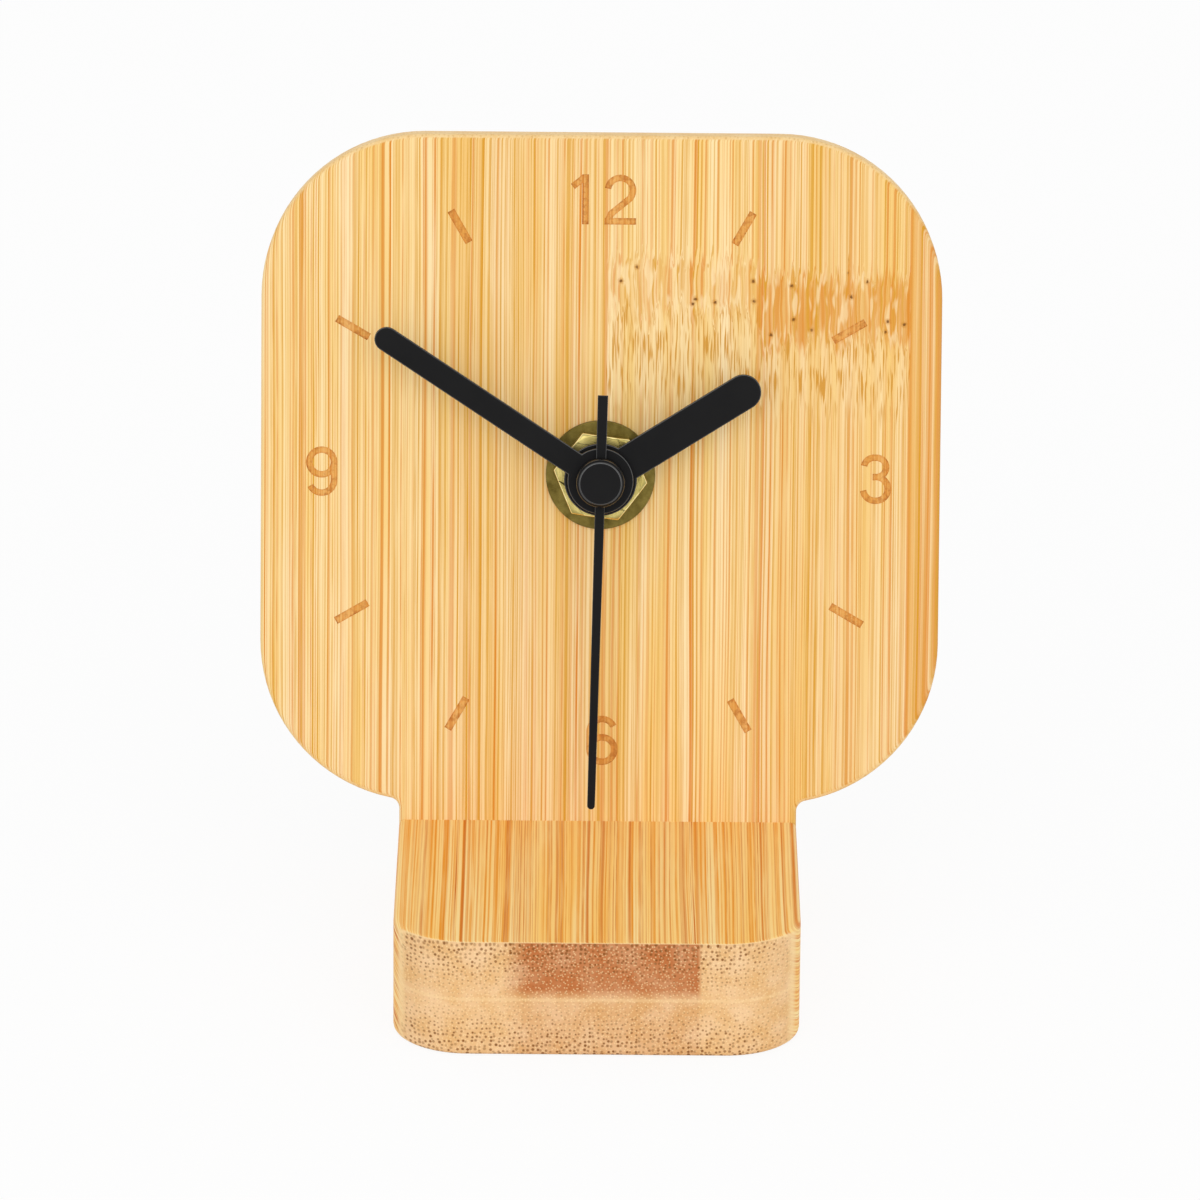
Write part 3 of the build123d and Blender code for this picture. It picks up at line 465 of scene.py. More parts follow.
def knuckle_marks(tree, colour, place, fibre, along, knuckle, broken, look):
    """Pale upright cells in the knuckles, short broken fibres below them and a few dark pores."""
    cells = streaks(tree, fibre, along, width=0.75, length=5.0)
    cell = add(tree, "MapRange", {"Value": cells, "From Min": 0.54, "From Max": 0.62, "To Max": 0.6})
    celled = add(tree, "Math", {0: cell, 1: knuckle}, operation="MULTIPLY")
    colour = add(tree, "MixRGB", {0: celled, 1: colour, 2: linear(look["pale"])})
    dashes = streaks(tree, fibre, along, width=0.22, length=5.0)
    dash = add(tree, "MapRange", {"Value": dashes, "From Min": 0.53, "From Max": 0.6, "To Max": 0.9})
    dashed = add(tree, "Math", {0: dash, 1: broken}, operation="MULTIPLY")
    colour = add(tree, "MixRGB", {0: dashed, 1: colour, 2: linear(look["dash"])})
    pores = add(tree, "TexVoronoi", {"Vector": place, "Scale": 1 / PORE_SPACING}, voronoi_dimensions="2D")
    uneven = add(tree, "TexNoise", {"Vector": place, "Scale": 1 / PORE_WOBBLE, "Detail": 1.0})
    rim = add(tree, "Math", {0: uneven, 1: 0.12, 2: pores}, operation="MULTIPLY_ADD")
    chance = add(tree, "SeparateColor", {0: pores.outputs["Color"]})
    rare = add(tree, "Math", {0: chance.outputs[0], 1: 0.7}, operation="GREATER_THAN")
    few = add(tree, "Math", {0: rare, 1: knuckle}, operation="MULTIPLY")
    for tint, outer, inner, strength in (("halo", 0.26, 0.14, 0.6), ("pore", 0.16, 0.1, 0.8)):
        spot = add(tree, "MapRange", {"Value": rim, "From Min": outer, "From Max": inner,
                                      "To Max": strength})
        spotted = add(tree, "Math", {0: spot, 1: few}, operation="MULTIPLY")
        colour = add(tree, "MixRGB", {0: spotted, 1: colour, 2: linear(look[tint])})
    return colour


def bamboo_long_grain(tree, place, look, knuckles=()):
    """Bamboo along the cane: glued strips with bands, fibre lines and knuckles. Gives colour and lines."""
    axes = add(tree, "SeparateXYZ", {0: place})
    across, along, deep = axes.outputs
    knuckle, stain, broken = bamboo_knuckles(tree, across, along, knuckles)
    shifted = add(tree, "Math", {0: across, 1: look["strip_edge"]}, operation="SUBTRACT")
    counted = add(tree, "Math", {0: shifted, 1: look["strip_width"]}, operation="DIVIDE")
    strip = add(tree, "Math", {0: counted}, operation="FLOOR")
    fibre = fibre_place(tree, across, along, deep, strip, knuckle)
    colour = bamboo_bands(tree, fibre, along, strip, stain, look)
    colour, lines = fibre_lines(tree, colour, fibre, along, broken, look)
    colour = knuckle_marks(tree, colour, place, fibre, along, knuckle, broken, look)

    # Glue seams between the strips
    part = add(tree, "Math", {0: counted}, operation="FRACT")
    middle = add(tree, "Math", {0: part, 1: 0.5}, operation="SUBTRACT")
    edge = add(tree, "Math", {0: middle}, operation="ABSOLUTE")
    near = add(tree, "MapRange", {"Value": edge, "From Min": 0.5 - SEAM / look["strip_width"],
                                  "From Max": 0.5 - SEAM / 2 / look["strip_width"], "To Max": look["seam"]})
    colour = add(tree, "MixRGB", {0: near, 1: colour, 2: linear(look["deep"])})
    return colour, lines


def bamboo_end_grain(tree, place, look, dense, shade=0.0):
    """Bamboo cut across the cane: fibre ends in pale pith, larger where it is dense, and shaded pith."""
    axes = add(tree, "SeparateXYZ", {0: place})
    section = add(tree, "CombineXYZ", {0: axes.outputs[0], 1: axes.outputs[2]})
    cloud = add(tree, "TexNoise", {"Vector": section, "Scale": 1 / CLOUD, "Detail": 3.0})
    clouded = add(tree, "MapRange", {"Value": cloud, "From Min": 0.35, "From Max": 0.65})
    colour = add(tree, "MixRGB", {0: clouded, 1: linear(look["pith"]), 2: linear(look["pith_warm"])})
    mottle = add(tree, "MapRange", {"Value": cloud, "From Min": 0.3, "From Max": 0.6, "To Min": 0.7})
    shaded = add(tree, "Math", {0: shade, 1: mottle}, operation="MULTIPLY")
    colour = add(tree, "MixRGB", {0: shaded, 1: colour, 2: linear(look["shade"])})

    # Pale specks between the fibres, then the brown fibre ends
    specks = add(tree, "TexVoronoi", {"Vector": section, "Scale": 1 / SPECK_SPACING},
                 voronoi_dimensions="2D")
    speck = add(tree, "MapRange", {"Value": specks, "From Min": 0.26, "From Max": 0.1, "To Max": 0.55})
    colour = add(tree, "MixRGB", {0: speck, 1: colour, 2: linear(look["speck"])})
    ends = add(tree, "TexVoronoi", {"Vector": section, "Scale": 1 / FIBRE_END_SPACING, "Randomness": 0.7},
               voronoi_dimensions="2D")
    chance = add(tree, "SeparateColor", {0: ends.outputs["Color"]})
    varied = add(tree, "Math", {0: chance.outputs[1], 1: 0.1}, operation="MULTIPLY")
    size = add(tree, "MapRange", {"Value": dense, "To Min": 0.0, "To Max": 0.15})
    sized = add(tree, "Math", {0: size, 1: varied}, operation="ADD")
    rim = add(tree, "Math", {0: sized, 1: 0.2}, operation="ADD")
    dot = add(tree, "MapRange", {"Value": ends, "From Min": rim, "From Max": sized})
    depth = add(tree, "MapRange", {"Value": chance.outputs[0], "To Min": 0.4, "To Max": 0.95})
    dotted = add(tree, "Math", {0: dot, 1: depth}, operation="MULTIPLY")
    strong = add(tree, "MapRange", {"Value": dense, "From Max": 0.6, "To Min": 0.3})
    seen = add(tree, "Math", {0: dotted, 1: strong}, operation="MULTIPLY")
    return add(tree, "MixRGB", {0: seen, 1: colour, 2: linear(look["dot"])})


def cut_across(tree, coords, fibre):
    """How far a surface is cut across the fibres, from its normal."""
    facing = add(tree, "VectorMath", {0: coords.outputs["Normal"], 1: fibre}, operation="DOT_PRODUCT")
    size = add(tree, "Math", {0: facing.outputs["Value"]}, operation="ABSOLUTE")
    return add(tree, "MapRange", {"Value": size, "From Min": 0.3, "From Max": 0.6},
               interpolation_type="SMOOTHSTEP")


def sanded_bamboo_dial():
    """Sanded, oiled bamboo strips: pale straw, fine golden lines up the plate, two knuckles, low gloss."""
    material, tree, shader, coords = start_material("sanded_bamboo_dial", roughness=0.55, specular=0.15)
    place = bench_mapping(tree, coords, HUB, DIAL_TURN)
    colour, lines = bamboo_long_grain(tree, place, DIAL_BAMBOO, DIAL_KNUCKLES)
    ends = bamboo_end_grain(tree, place, DIAL_BAMBOO, 0.3)
    turned = cut_across(tree, coords, RISE)
    whole = add(tree, "MixRGB", {0: turned, 1: colour, 2: ends})
    tree.links.new(whole.outputs[0], shader.inputs["Base Color"])
    relief = add(tree, "Bump", {"Height": lines, "Strength": 0.15, "Distance": FIBRE_RELIEF})
    tree.links.new(relief.outputs[0], shader.inputs["Normal"])
    return material


def burnt_bamboo_engraving():
    """Bamboo scorched by the engraver: orange brown and matt, with the grain still showing through."""
    material, tree, shader, coords = start_material("burnt_bamboo_engraving", roughness=0.7, specular=0.15)
    place = bench_mapping(tree, coords, HUB, DIAL_TURN)
    colour, lines = bamboo_long_grain(tree, place, BURNT_BAMBOO)
    scorch = add(tree, "TexNoise", {"Vector": place, "Scale": 1 / SCORCH, "Detail": 3.0})
    scorched = add(tree, "MapRange", {"Value": scorch, "From Min": 0.48, "From Max": 0.66, "To Max": 0.6})
    whole = add(tree, "MixRGB", {0: scorched, 1: colour, 2: linear(BURNT_BAMBOO["shade"])})
    tree.links.new(whole.outputs[0], shader.inputs["Base Color"])
    return material


def dark_strip(tree, place, across, up):
    """The dark strip in the base's upper board, with a soft, ragged left edge, and a hint of it below."""
    ragged = add(tree, "TexNoise", {"Vector": place, "Scale": 1 / DARK_WANDER, "Detail": 3.0})
    wander = add(tree, "Math", {0: ragged, 1: DARK_WANDER, 2: across}, operation="MULTIPLY_ADD")
    left = add(tree, "MapRange", {"Value": wander, "From Min": DARK_LEFT,
                                  "From Max": DARK_LEFT + DARK_LEFT_SOFT})
    right = add(tree, "MapRange", {"Value": across, "From Min": DARK_RIGHT,
                                   "From Max": DARK_RIGHT - DARK_RIGHT_SOFT})
    upper = add(tree, "MapRange", {"Value": up, "From Min": DARK_FOOT, "From Max": DARK_FULL})
    sides = add(tree, "Math", {0: left, 1: right}, operation="MULTIPLY")
    strip = add(tree, "Math", {0: sides, 1: upper}, operation="MULTIPLY")
    lower = add(tree, "Math", {0: sides, 1: DARK_SHARE_BELOW}, operation="MULTIPLY")
    return add(tree, "Math", {0: strip, 1: DARK_SHARE, 2: lower}, operation="MULTIPLY_ADD")


def sanded_bamboo_base():
    """Two boards of sanded bamboo glued flat: amber lines on top, fibre ends and a dark strip in front."""
    material, tree, shader, coords = start_material("sanded_bamboo_base", roughness=0.5, specular=0.15)
    place = bench_mapping(tree, coords, BASE_MIDDLE)
    colour, lines = bamboo_long_grain(tree, place, BASE_BAMBOO)
    axes = add(tree, "SeparateXYZ", {0: place})
    across, along, up = axes.outputs
    off = add(tree, "Math", {0: up}, operation="ABSOLUTE")
    outward = add(tree, "MapRange", {"Value": off, "From Min": THIN_HEIGHT, "From Max": DENSE_HEIGHT})
    fades = add(tree, "MapRange", {"Value": across, "From Min": THIN_RIGHT, "From Max": DENSE_RIGHT,
                                   "To Min": 0.1})
    dense = add(tree, "Math", {0: outward, 1: fades}, operation="MULTIPLY")
    tinted = dark_strip(tree, place, across, up)
    ends = bamboo_end_grain(tree, place, BASE_BAMBOO, dense, tinted)
    glue = add(tree, "MapRange", {"Value": off, "From Min": GLUE_SOFT, "From Max": GLUE_HALF,
                                  "To Max": 0.28})
    ends = add(tree, "MixRGB", {0: glue, 1: ends, 2: linear(BASE_BAMBOO["speck"])})

    # A pale line along the eased edge between long grain and end grain
    turned = cut_across(tree, coords, (0, 1, 0))
    whole = add(tree, "MixRGB", {0: turned, 1: colour, 2: ends})
    other = add(tree, "Math", {0: 1.0, 1: turned}, operation="SUBTRACT")
    edge = add(tree, "Math", {0: turned, 1: other}, operation="MULTIPLY")
    worn = add(tree, "Math", {0: edge, 1: PALE_EDGE_LINE}, operation="MULTIPLY")
    whole = add(tree, "MixRGB", {0: worn, 1: whole, 2: linear(BASE_BAMBOO["speck"])})
    tree.links.new(whole.outputs[0], shader.inputs["Base Color"])
    relief = add(tree, "Bump", {"Height": lines, "Strength": 0.15, "Distance": FIBRE_RELIEF})
    tree.links.new(relief.outputs[0], shader.inputs["Normal"])
    return material


def mottled(name, first, second, patch, roughness, metallic=0.0, specular=0.5, grit=0.0, depth=0.0):
    """A finish of two close colours in soft patches, with a fine grit in its surface where it has one."""
    material, tree, shader, coords = start_material(name, roughness, metallic, specular)
    place = bench_mapping(tree, coords, HUB, DIAL_TURN)
    patches = add(tree, "TexNoise", {"Vector": place, "Scale": 1 / patch, "Detail": 4.0})
    share = add(tree, "MapRange", {"Value": patches, "From Min": 0.35, "From Max": 0.65})
    colour = add(tree, "MixRGB", {0: share, 1: linear(first), 2: linear(second)})
    tree.links.new(colour.outputs[0], shader.inputs["Base Color"])
    if grit:
        grains = add(tree, "TexNoise", {"Vector": place, "Scale": 1 / grit, "Detail": 2.0})
        relief = add(tree, "Bump", {"Height": grains, "Strength": 0.4, "Distance": depth * MM})
        tree.links.new(relief.outputs[0], shader.inputs["Normal"])
    return material


def turned_brass(name, bright, dull, roughness):
    """Brass faced on a lathe: fine rings about the hub, with dull patches where it has been handled.

    The rings are drawn coarser than a real lathe's, so that they show.
    """
    material, tree, shader, coords = start_material(name, roughness, metallic=1.0)
    place = bench_mapping(tree, coords, HUB, DIAL_TURN)
    rings = add(tree, "TexWave", {"Vector": place, "Scale": WAVE_LENGTH / LATHE_PITCH, "Distortion": 0.6,
                                  "Detail": 2.0}, wave_type="RINGS", rings_direction="Z")
    patches = add(tree, "TexNoise", {"Vector": place, "Scale": 1 / DULL_PATCH, "Detail": 5.0,
                                     "Roughness": 0.65})
    share = add(tree, "MapRange", {"Value": patches, "From Min": 0.38, "From Max": 0.66})
    colour = add(tree, "MixRGB", {0: share, 1: linear(bright), 2: linear(dull)})
    tree.links.new(colour.outputs[0], shader.inputs["Base Color"])
    relief = add(tree, "Bump", {"Height": rings, "Strength": 0.25, "Distance": LATHE_RELIEF})
    tree.links.new(relief.outputs[0], shader.inputs["Normal"])
    return material


def battery_jacket():
    """Printed shrink film on a dry cell, plain: a dark grey body with a copper band at the button end."""
    material, tree, shader, coords = start_material("battery_film", roughness=0.28, metallic=0.6)
    low, high = (Vector(corner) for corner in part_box("battery"))
    place = bench_mapping(tree, coords, (low + high) / 2)
    axes = add(tree, "SeparateXYZ", {0: place})
    band = add(tree, "MapRange", {"Value": axes.outputs[0], "From Min": COPPER_BAND,
                                  "From Max": COPPER_BAND - COPPER_BAND_SOFT})
    haze = add(tree, "TexNoise", {"Vector": place, "Scale": 1 / FILM_HAZE, "Detail": 3.0})
    dark = add(tree, "MixRGB", {0: haze, 1: linear("#3C4043"), 2: linear("#2E3134")})
    colour = add(tree, "MixRGB", {0: band, 1: dark, 2: linear("#B8793F")})
    tree.links.new(colour.outputs[0], shader.inputs["Base Color"])
    return material


def wound_wire():
    """Enamelled copper wire in close turns: bright brown ridges, coarser than real so that they show."""
    material, tree, shader, coords = start_material("enamelled_copper_wire", roughness=0.35, metallic=0.9)
    place = bench_mapping(tree, coords, HUB, DIAL_TURN)
    turns = add(tree, "TexWave", {"Vector": place, "Scale": WAVE_LENGTH / WIRE_PITCH, "Distortion": 0.4},
                bands_direction="X")
    colour = add(tree, "MixRGB", {0: turns, 1: linear("#7A3E1C"), 2: linear("#C47A43")})
    tree.links.new(colour.outputs[0], shader.inputs["Base Color"])
    relief = add(tree, "Bump", {"Height": turns, "Strength": 0.6, "Distance": WIRE_RELIEF})
    tree.links.new(relief.outputs[0], shader.inputs["Normal"])
    return material


# Pieces

def pen_wall(start, moves, height, degrees_per_step=PEN_STEP):
    """Draw an upright wall from a start point, half above and half below z = 0.

    A move of two numbers goes straight to that point; one of three turns clockwise about a centre.
    """
    bpy.ops.object.select_all(action="DESELECT")
    bpy.ops.mesh.primitive_plane_add(size=height, location=(start[0] + height / 2, start[1], 0),
                                     rotation=(math.pi / 2, 0, 0))
    wall = bpy.context.object
    bpy.ops.object.transform_apply(location=True, rotation=True, scale=True)
    pick(wall, "VERT", lambda point: point.x > start[0] + height / 2)
    bpy.ops.mesh.delete(type="VERT")
    bpy.ops.mesh.select_all(action="SELECT")
    here = Vector(start)
    for move in moves:
        if len(move) == 2:
            step = Vector(move) - here
            bpy.ops.mesh.extrude_region_move(TRANSFORM_OT_translate={"value": (step.x, step.y, 0)})
            here = Vector(move)
        else:
            centre, degrees = Vector(move[:2]), move[2]
            steps = math.ceil(abs(degrees) / degrees_per_step)
            bpy.ops.mesh.spin(steps=steps, angle=math.radians(degrees), center=(centre.x, centre.y, 0),
                              axis=(0, 0, 1))
            here = centre + Matrix.Rotation(-math.radians(degrees), 2) @ (here - centre)
    bpy.ops.mesh.select_all(action="SELECT")
    bpy.ops.mesh.remove_doubles(threshold=MERGE_DISTANCE)
    bpy.ops.object.mode_set(mode="OBJECT")
    return wall


def pen_stroke(width, start, moves):
    """One engraved stroke, as a wall as thick as the pen that stands through the dial's face."""
    stroke = pen_wall(start, moves, 2 * ENGRAVE_DEPTH)
    shape(stroke, "SOLIDIFY", thickness=width, offset=0, use_even_offset=True)
    settle(stroke)
    return stroke


def on_circle(centre, radius, degrees):
    """The point of a circle at an angle, counted anticlockwise from the right."""
    angle = math.radians(degrees)
    return centre[0] + radius * math.cos(angle), centre[1] + radius * math.sin(angle)


def numeral_strokes():
    """The strokes of 1, 2, 3 and 9 about their middles: start points and pen moves. A 6 is a turned 9."""
    top = (NUMERAL_HEIGHT - ENGRAVE_WIDTH) / 2
    side = (NUMERAL_WIDTH - ENGRAVE_WIDTH) / 2
    end, edge = NUMERAL_HEIGHT / 2, NUMERAL_WIDTH / 2
    flag_low = (-FLAG_REACH, top - FLAG_DROP)
    one = [((0, -end), [(0, end)]), ((-FLAG_OVERLAP, top + FLAG_OVERLAP), [flag_low])]

    hook = (0, top - side)
    two = [(on_circle(hook, side, CURL_START), [(*hook, TWO_CURL), TWO_BEND, (-side, -top)]),
           ((-edge, -top), [(edge, -top)])]

    waist = THREE_WAIST
    upper = (top - waist) / 2
    lower = (top + waist) / 2
    head = (THREE_HEAD, waist + upper)
    left_head = (THREE_HEAD_LEFT, waist + upper)
    tail = (side - lower, waist - lower)
    left_tail = (lower - side, waist - lower)
    three = [(on_circle(left_head, upper, CURL_START),
              [(*left_head, THREE_CURL), (head[0], top), (*head, 180), (THREE_WAIST_END, waist)]),
             ((tail[0], waist), [(*tail, 180), (left_tail[0], -top), (*left_tail, THREE_CURL)])]

    bowl = (0, top - side)
    belly = (0, side - top)
    nine = [((side, bowl[1]), [(*bowl, 360)]),
            ((side, bowl[1]), [(side, belly[1]), (*belly, NINE_CURL)])]
    return one, two, three, nine


def engraving():
    """The cutter for ticks and numerals, standing through the dial's face, in the dial's own frame."""
    one, two, three, nine = numeral_strokes()
    upright, turned = Matrix.Identity(4), Matrix.Rotation(math.pi, 4, "Z")
    figures = ((one, TWELVE_AT + Vector((ONE_SHIFT, 0)), upright),
               (two, TWELVE_AT + Vector((TWO_SHIFT, 0)), upright),
               (three, THREE_AT, upright), (nine, SIX_AT, turned), (nine, NINE_AT, upright))
    strokes = []
    for figure, middle, turn in figures:
        for start, moves in figure:
            stroke = pen_stroke(ENGRAVE_WIDTH, start, moves)
            stand(stroke, Matrix.Translation((middle.x, middle.y, 0)) @ turn)
            strokes.append(stroke)
    tick = pen_stroke(TICK_WIDTH, (0, TICK_INNER), [(0, TICK_OUTER)])
    for hour in TICK_HOURS:
        copy = bpy.data.objects.new("tick", tick.data.copy())
        bpy.context.scene.collection.objects.link(copy)
        turn = Matrix.Rotation(-math.radians(hour * HOUR_STEP), 4, "Z")
        stand(copy, Matrix.LocRotScale(RING_MIDDLE, None, RING_STRETCH) @ turn)
        strokes.append(copy)
    bpy.data.objects.remove(tick)
    only(strokes[0])
    for stroke in strokes:
        stroke.select_set(True)
    bpy.ops.object.join()
    return strokes[0]


def plate_outline():
    """The plate's outline clockwise, as a start point and pen moves: tenon, neck, fillet and square."""
    half, neck = PLATE_WIDTH / 2, BASE_WIDTH / 2
    top = SQUARE_MIDDLE + PLATE_HEIGHT / 2
    corner_x, high, low = half - PLATE_CORNER, top - PLATE_CORNER, top - PLATE_HEIGHT + PLATE_CORNER
    fillet_x = neck + NECK_FILLET
    reach = PLATE_CORNER + NECK_FILLET
    drop = math.sqrt(reach ** 2 - (fillet_x - corner_x) ** 2)
    sweep = math.degrees(math.atan2(drop, fillet_x - corner_x))
    tenon_end = FOOT - TENON_LENGTH
    moves = [(-neck, low - drop), (-fillet_x, low - drop, -sweep), (-corner_x, low, sweep), (-half, high),
             (-corner_x, high, 90), (corner_x, top), (corner_x, high, 90), (half, low),
             (corner_x, low, sweep), (fillet_x, low - drop, -sweep), (neck, tenon_end), (-neck, tenon_end)]
    return (-neck, tenon_end), moves


def dial_plate():
    """Bamboo plate with eased edges, drilled for the movement's bush, with the dial burnt into its face."""
    plate = pen_wall(*plate_outline(), PLATE_THICKNESS, OUTLINE_STEP)
    plate.name = "bamboo_dial_plate"
    for side in (-1, 1):
        pick(plate, "EDGE", lambda a, b: a.z * side > 0 and b.z * side > 0)
        bpy.ops.mesh.edge_face_add()
        bpy.ops.object.mode_set(mode="OBJECT")
    settle(plate)
    tenon_end = FOOT - TENON_LENGTH + EDGE_EASE
    pick(plate, "EDGE", lambda a, b: a.z * b.z > 0 and max(a.y, b.y) > tenon_end)
    bpy.ops.mesh.bevel(offset=EDGE_EASE, offset_type="OFFSET", segments=EASE_STEPS, affect="EDGES")
    bpy.ops.object.mode_set(mode="OBJECT")
    stand(plate, Matrix.Translation((0, 0, -PLATE_THICKNESS / 2)))
    bpy.ops.object.select_all(action="DESELECT")
    bpy.ops.mesh.primitive_cylinder_add(vertices=BORE_SIDES, radius=BORE / 2, depth=4 * PLATE_THICKNESS)
    cut(plate, bpy.context.object)
    plate.data.materials.clear()
    plate.data.materials.append(sanded_bamboo_dial())
    cutter = engraving()
    cutter.data.materials.append(burnt_bamboo_engraving())
    cut(plate, cutter, use_self=True, material_mode="TRANSFER")
    smooth(plate)
    stand(plate, DIAL)
    dress(plate, "clock_body", "dial_plate")


def base_block():
    """Bamboo block with rounded corners and eased edges, slotted right across for the plate's tenon."""
    base = block("bamboo_base_block", BASE_LOW, BASE_HIGH)
    round_corners(base, BASE_CORNER)
    ease(base, EDGE_EASE, EASE_STEPS)
    reach = BASE_WIDTH / 2 + OVERRUN
    slot = block("slot", (-reach, FOOT - TENON_LENGTH, -PLATE_THICKNESS), (reach, FOOT + TENON_LENGTH, 0))
    stand(slot, DIAL)
    cut(base, slot)
    smooth(base)
    base.data.materials.append(sanded_bamboo_base())
    dress(base, "clock_body", "base_block")


def hands():
    """Stamped hands and a pressed-on cap, painted satin black, with glossier edges in a lighter black: the
    gloss gives real highlights, the lighter colour is a painted highlight.
    """
    paint = mottled("satin_black_paint", "#101011", "#141415", patch=6.0, roughness=0.5, specular=0.1,
                    grit=0.25, depth=0.01)
    # Edges: a glossier black for real highlights, in a lighter colour that is a painted highlight
    edge = mottled("black_paint_edge_painted_highlight", "#161617", "#1E1E1F", patch=1.5, roughness=0.25, specular=0.8)
    painted = (("hour_hand", "hour_hand_painted", "hour_train", HAND_EASE),
               ("minute_hand", "minute_hand_painted", "minute_train", HAND_EASE),
               ("second_hand", "second_hand_painted", "second_train", SECOND_HAND_EASE),
               ("second_hand_cap", "second_cap_painted", "second_train", HAND_EASE))
    for node, name, body, width in painted:
        dress(eased_copy(node, name, width, paint, edge, steps=3), body, node)


def brass_hardware():
    """Hexagon nut with a painted highlight in pale brass along its edges, on a washer painted dark for the
    dark reflections it shows, both faced on a lathe, and their bush.
    """
    bright = turned_brass("turned_brass_nut", "#BCAC6A", "#9E8E4C", roughness=0.28)
    # Painted highlight: pale bright brass on the nut's eased edges stands in for the highlight lines along
    # them
    worn = turned_brass("brass_edge_painted_highlight", "#F6EAB4", "#EADB96", roughness=0.2)
    # Painted reflection: the washer's darker brass stands in for the dark surroundings that it reflects
    dull = turned_brass("brass_washer_painted_dark_reflection", "#766834", "#564A20", roughness=0.42)
    nut = eased_copy("hex_nut", "brass_hex_nut", NUT_EASE, bright, worn, steps=3)
    washer = eased_copy("brass_washer", "brass_dial_washer", WASHER_EASE, dull)
    dress(nut, "clock_body", "hex_nut")
    dress(washer, "clock_body", "brass_washer")
    frame["nodes"]["threaded_bush"].data.materials[0] = bright


def movement_outside():
    """Moulded case, cover, knob and gasket of the movement, and the cell in its tub."""
    # Moulded ABS: near black and half dull, with the fine grain of its mould
    shell = mottled("moulded_black_plastic", "#1A1A1B", "#202021", patch=9.0, roughness=0.5, specular=0.35,
                    grit=0.3, depth=0.03)
    # Moulded acetal: milky white with a soft sheen
    white = mottled("moulded_white_plastic", "#E4E2DA", "#D9D6CC", patch=5.0, roughness=0.35, specular=0.4)
    # Moulded rubber: dark grey, grainy and almost without gloss
    soft = mottled("moulded_rubber", "#232324", "#2A2A2B", patch=3.0, roughness=0.8, specular=0.2,
                   grit=0.4, depth=0.03)
    case = eased_copy("movement_case", "case_moulding", CASE_EASE, shell)
    cover = eased_copy("rear_cover", "cover_moulding", CASE_EASE, shell)
    knob = eased_copy("setting_knob", "knob_moulding", KNOB_EASE, white)
    gasket = eased_copy("rubber_gasket", "gasket_moulding", GASKET_EASE, soft)
    cell = eased_copy("battery", "dry_cell", CELL_EASE, battery_jacket(), steps=3)
    dress(case, "clock_body", "movement_case")
    dress(cover, "clock_body", "rear_cover")
    dress(knob, "setting_train", "setting_knob")
    dress(gasket, "clock_body", "rubber_gasket")
    dress(cell, "clock_body", "battery")
    return white


def movement_inside(white):
    """Finishes for the works, which stay as their solids."""
    # Moulded ABS: mid grey and half dull
    grey = mottled("moulded_grey_plastic", "#85868A", "#7A7B7F", patch=4.0, roughness=0.5)
    # Nickel-plated spring strip: bright and a little warm
    spring = mottled("nickel_plated_spring", "#C9C7C0", "#B3B1AA", patch=1.5, roughness=0.3, metallic=1.0)
    # Ground steel: bright with a fine haze
    steel = mottled("ground_steel_arbor", "#C2C2C0", "#A9A9A8", patch=0.8, roughness=0.25, metallic=1.0)
    # Coated paper laminate: dark green with a low gloss
    laminate = mottled("coated_paper_laminate", "#2F5A34", "#294F2E", patch=3.0, roughness=0.4)
    # Moulded resin: near black with a low gloss
    resin = mottled("moulded_resin", "#1D1D1E", "#252526", patch=1.5, roughness=0.35)
    # Drawn nickel: pale and almost mirror bright
    can = mottled("drawn_nickel_can", "#D0D0CE", "#BDBDBB", patch=2.0, roughness=0.22, metallic=1.0)
    # Stamped soft iron: grey and half dull
    iron = mottled("stamped_soft_iron", "#A5A29C", "#8E8B85", patch=2.0, roughness=0.45, metallic=1.0)
    # Sintered magnet: dark grey and dull
    magnet = mottled("sintered_magnet", "#4A4A4C", "#3C3C3E", patch=0.8, roughness=0.5, metallic=0.7)
    finishes = {
        grey: ("train_bridge", "coil_bobbin"),
        white: ("second_wheel", "third_wheel", "intermediate_wheel", "rotor_pinion", "centre_wheel",
                "minute_cannon", "hour_wheel", "setting_wheel"),
        spring: ("positive_contact", "negative_contact", "clutch_spring"),
        steel: ("second_arbor",),
        laminate: ("circuit_board",),
        resin: ("driver_chip",),
        can: ("quartz_crystal",),
        iron: ("coil_core", "stator_plate"),
        magnet: ("rotor_magnet",),
        wound_wire(): ("coil_winding",),
    }
    for material, nodes in finishes.items():
        for node in nodes:
            frame["nodes"][node].data.materials[0] = material


# Studio

def seen_directly(tree):
    """One for rays from the camera, from reflections and through clear things, else nought."""
    path = add(tree, "LightPath")
    gloss = add(tree, "Math", {0: path.outputs["Is Camera Ray"], 1: path.outputs["Is Glossy Ray"]},
                operation="MAXIMUM")
    return add(tree, "Math", {0: gloss, 1: path.outputs["Is Transmission Ray"]}, operation="MAXIMUM")


def studio_floor():
    """Seamless white sweep: it glows a little to the eye so that it stays white, and keeps the shadow."""
    bpy.ops.object.select_all(action="DESELECT")
    bpy.ops.mesh.primitive_plane_add(size=FLOOR_SIZE, location=(0, 0, -FLOOR_GAP))
    floor = bpy.context.object
    floor.name = "studio_floor"
    material = bpy.data.materials.new("white_paper_sweep")
    material.use_nodes = True
    tree = material.node_tree
    paper = tree.nodes["Principled BSDF"]
    paper.inputs["Base Color"].default_value = linear("#F7F7F7")
    paper.inputs["Roughness"].default_value = 0.9
    paper.inputs["Specular IOR Level"].default_value = 0.0
    seen = seen_directly(tree)
    share = add(tree, "Math", {0: seen, 1: FLOOR_GLOW_SHARE}, operation="MULTIPLY")
    glow = add(tree, "Emission", {"Color": linear("#FFFFFF"), "Strength": 1.0})
    mix = add(tree, "MixShader", {0: share, 1: paper, 2: glow})
    tree.links.new(mix.outputs[0], tree.nodes["Material Output"].inputs["Surface"])
    floor.data.materials.append(material)


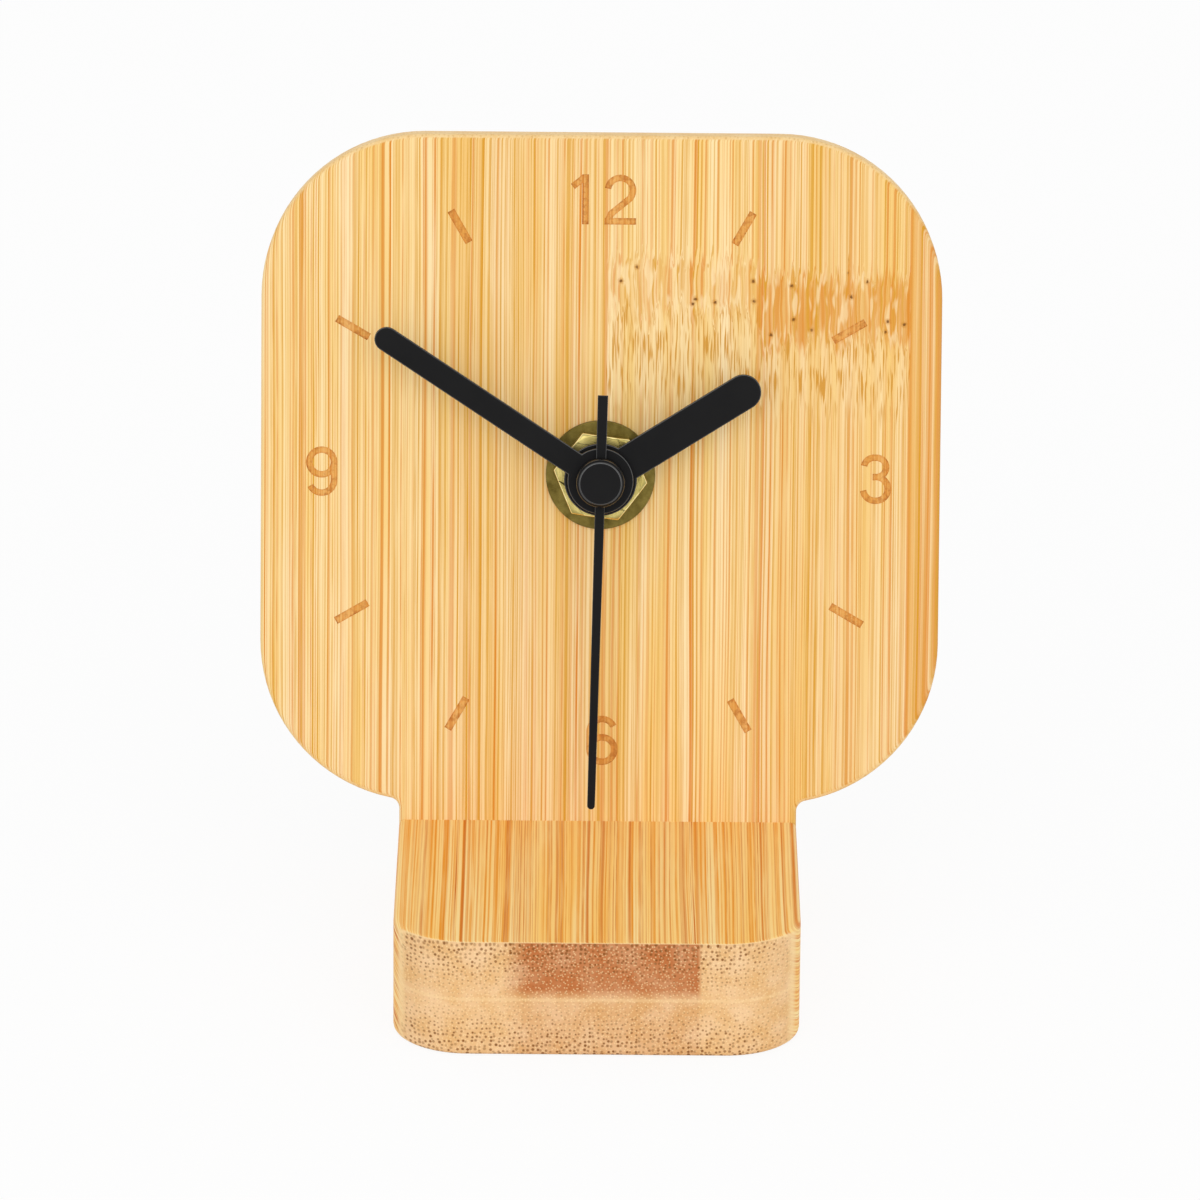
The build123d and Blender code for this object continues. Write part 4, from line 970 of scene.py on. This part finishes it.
def studio_sky():
    """Even white light from all round, which looks plain white behind the clock."""
    world = bpy.data.worlds.new("white_studio")
    bpy.context.scene.world = world
    world.use_nodes = True
    tree = world.node_tree
    sky = tree.nodes["Background"]
    sky.inputs["Color"].default_value = linear("#FFFFFF")
    level = add(tree, "MapRange", {"Value": seen_directly(tree), "To Min": SKY_LEVEL, "To Max": 1.0})
    tree.links.new(level.outputs[0], sky.inputs["Strength"])


def soft_box(name, place, watts):
    """A large square lamp aimed at the dial, near the camera so that the hands hide their shadows."""
    light = bpy.data.lights.new(name, "AREA")
    light.energy = watts
    light.size = SOFT_BOX_SIZE
    lamp = bpy.data.objects.new(name, light)
    bpy.context.scene.collection.objects.link(lamp)
    lamp.location = place
    lamp.rotation_euler = (HUB - Vector(place)).to_track_quat("-Z", "Y").to_euler()


def camera():
    """The photograph's view of the clock."""
    back = Vector((math.sin(VIEW_TURN) * math.cos(VIEW_ELEVATION),
                   -math.cos(VIEW_TURN) * math.cos(VIEW_ELEVATION), math.sin(VIEW_ELEVATION)))
    right = Vector((0, 0, 1)).cross(back).normalized()
    up = back.cross(right)
    aim = HUB + RISE * FOOT + right * AIM_RIGHT + up * AIM_UP
    rolled_right = right * math.cos(VIEW_ROLL) + up * math.sin(VIEW_ROLL)
    rolled_up = back.cross(rolled_right)
    lens = bpy.data.cameras.new("photo_camera")
    lens.sensor_width = SENSOR
    lens.lens = SENSOR * PIXELS_PER_MM * VIEW_DISTANCE / MM / FRAME_PIXELS
    lens.clip_end = 2 * FLOOR_SIZE
    eye = bpy.data.objects.new("photo_camera", lens)
    bpy.context.scene.collection.objects.link(eye)
    turn = Matrix((rolled_right, rolled_up, back)).transposed().to_4x4()
    eye.matrix_world = Matrix.Translation(aim + back * VIEW_DISTANCE) @ turn
    bpy.context.scene.camera = eye


camera()
studio_floor()
studio_sky()
soft_box("key_soft_box", KEY_AT, KEY_WATTS)
soft_box("fill_soft_box", FILL_AT, FILL_WATTS)
bpy.context.scene.view_settings.view_transform = "Standard"

dial_plate()
base_block()
hands()
brass_hardware()
white_plastic = movement_outside()
movement_inside(white_plastic)
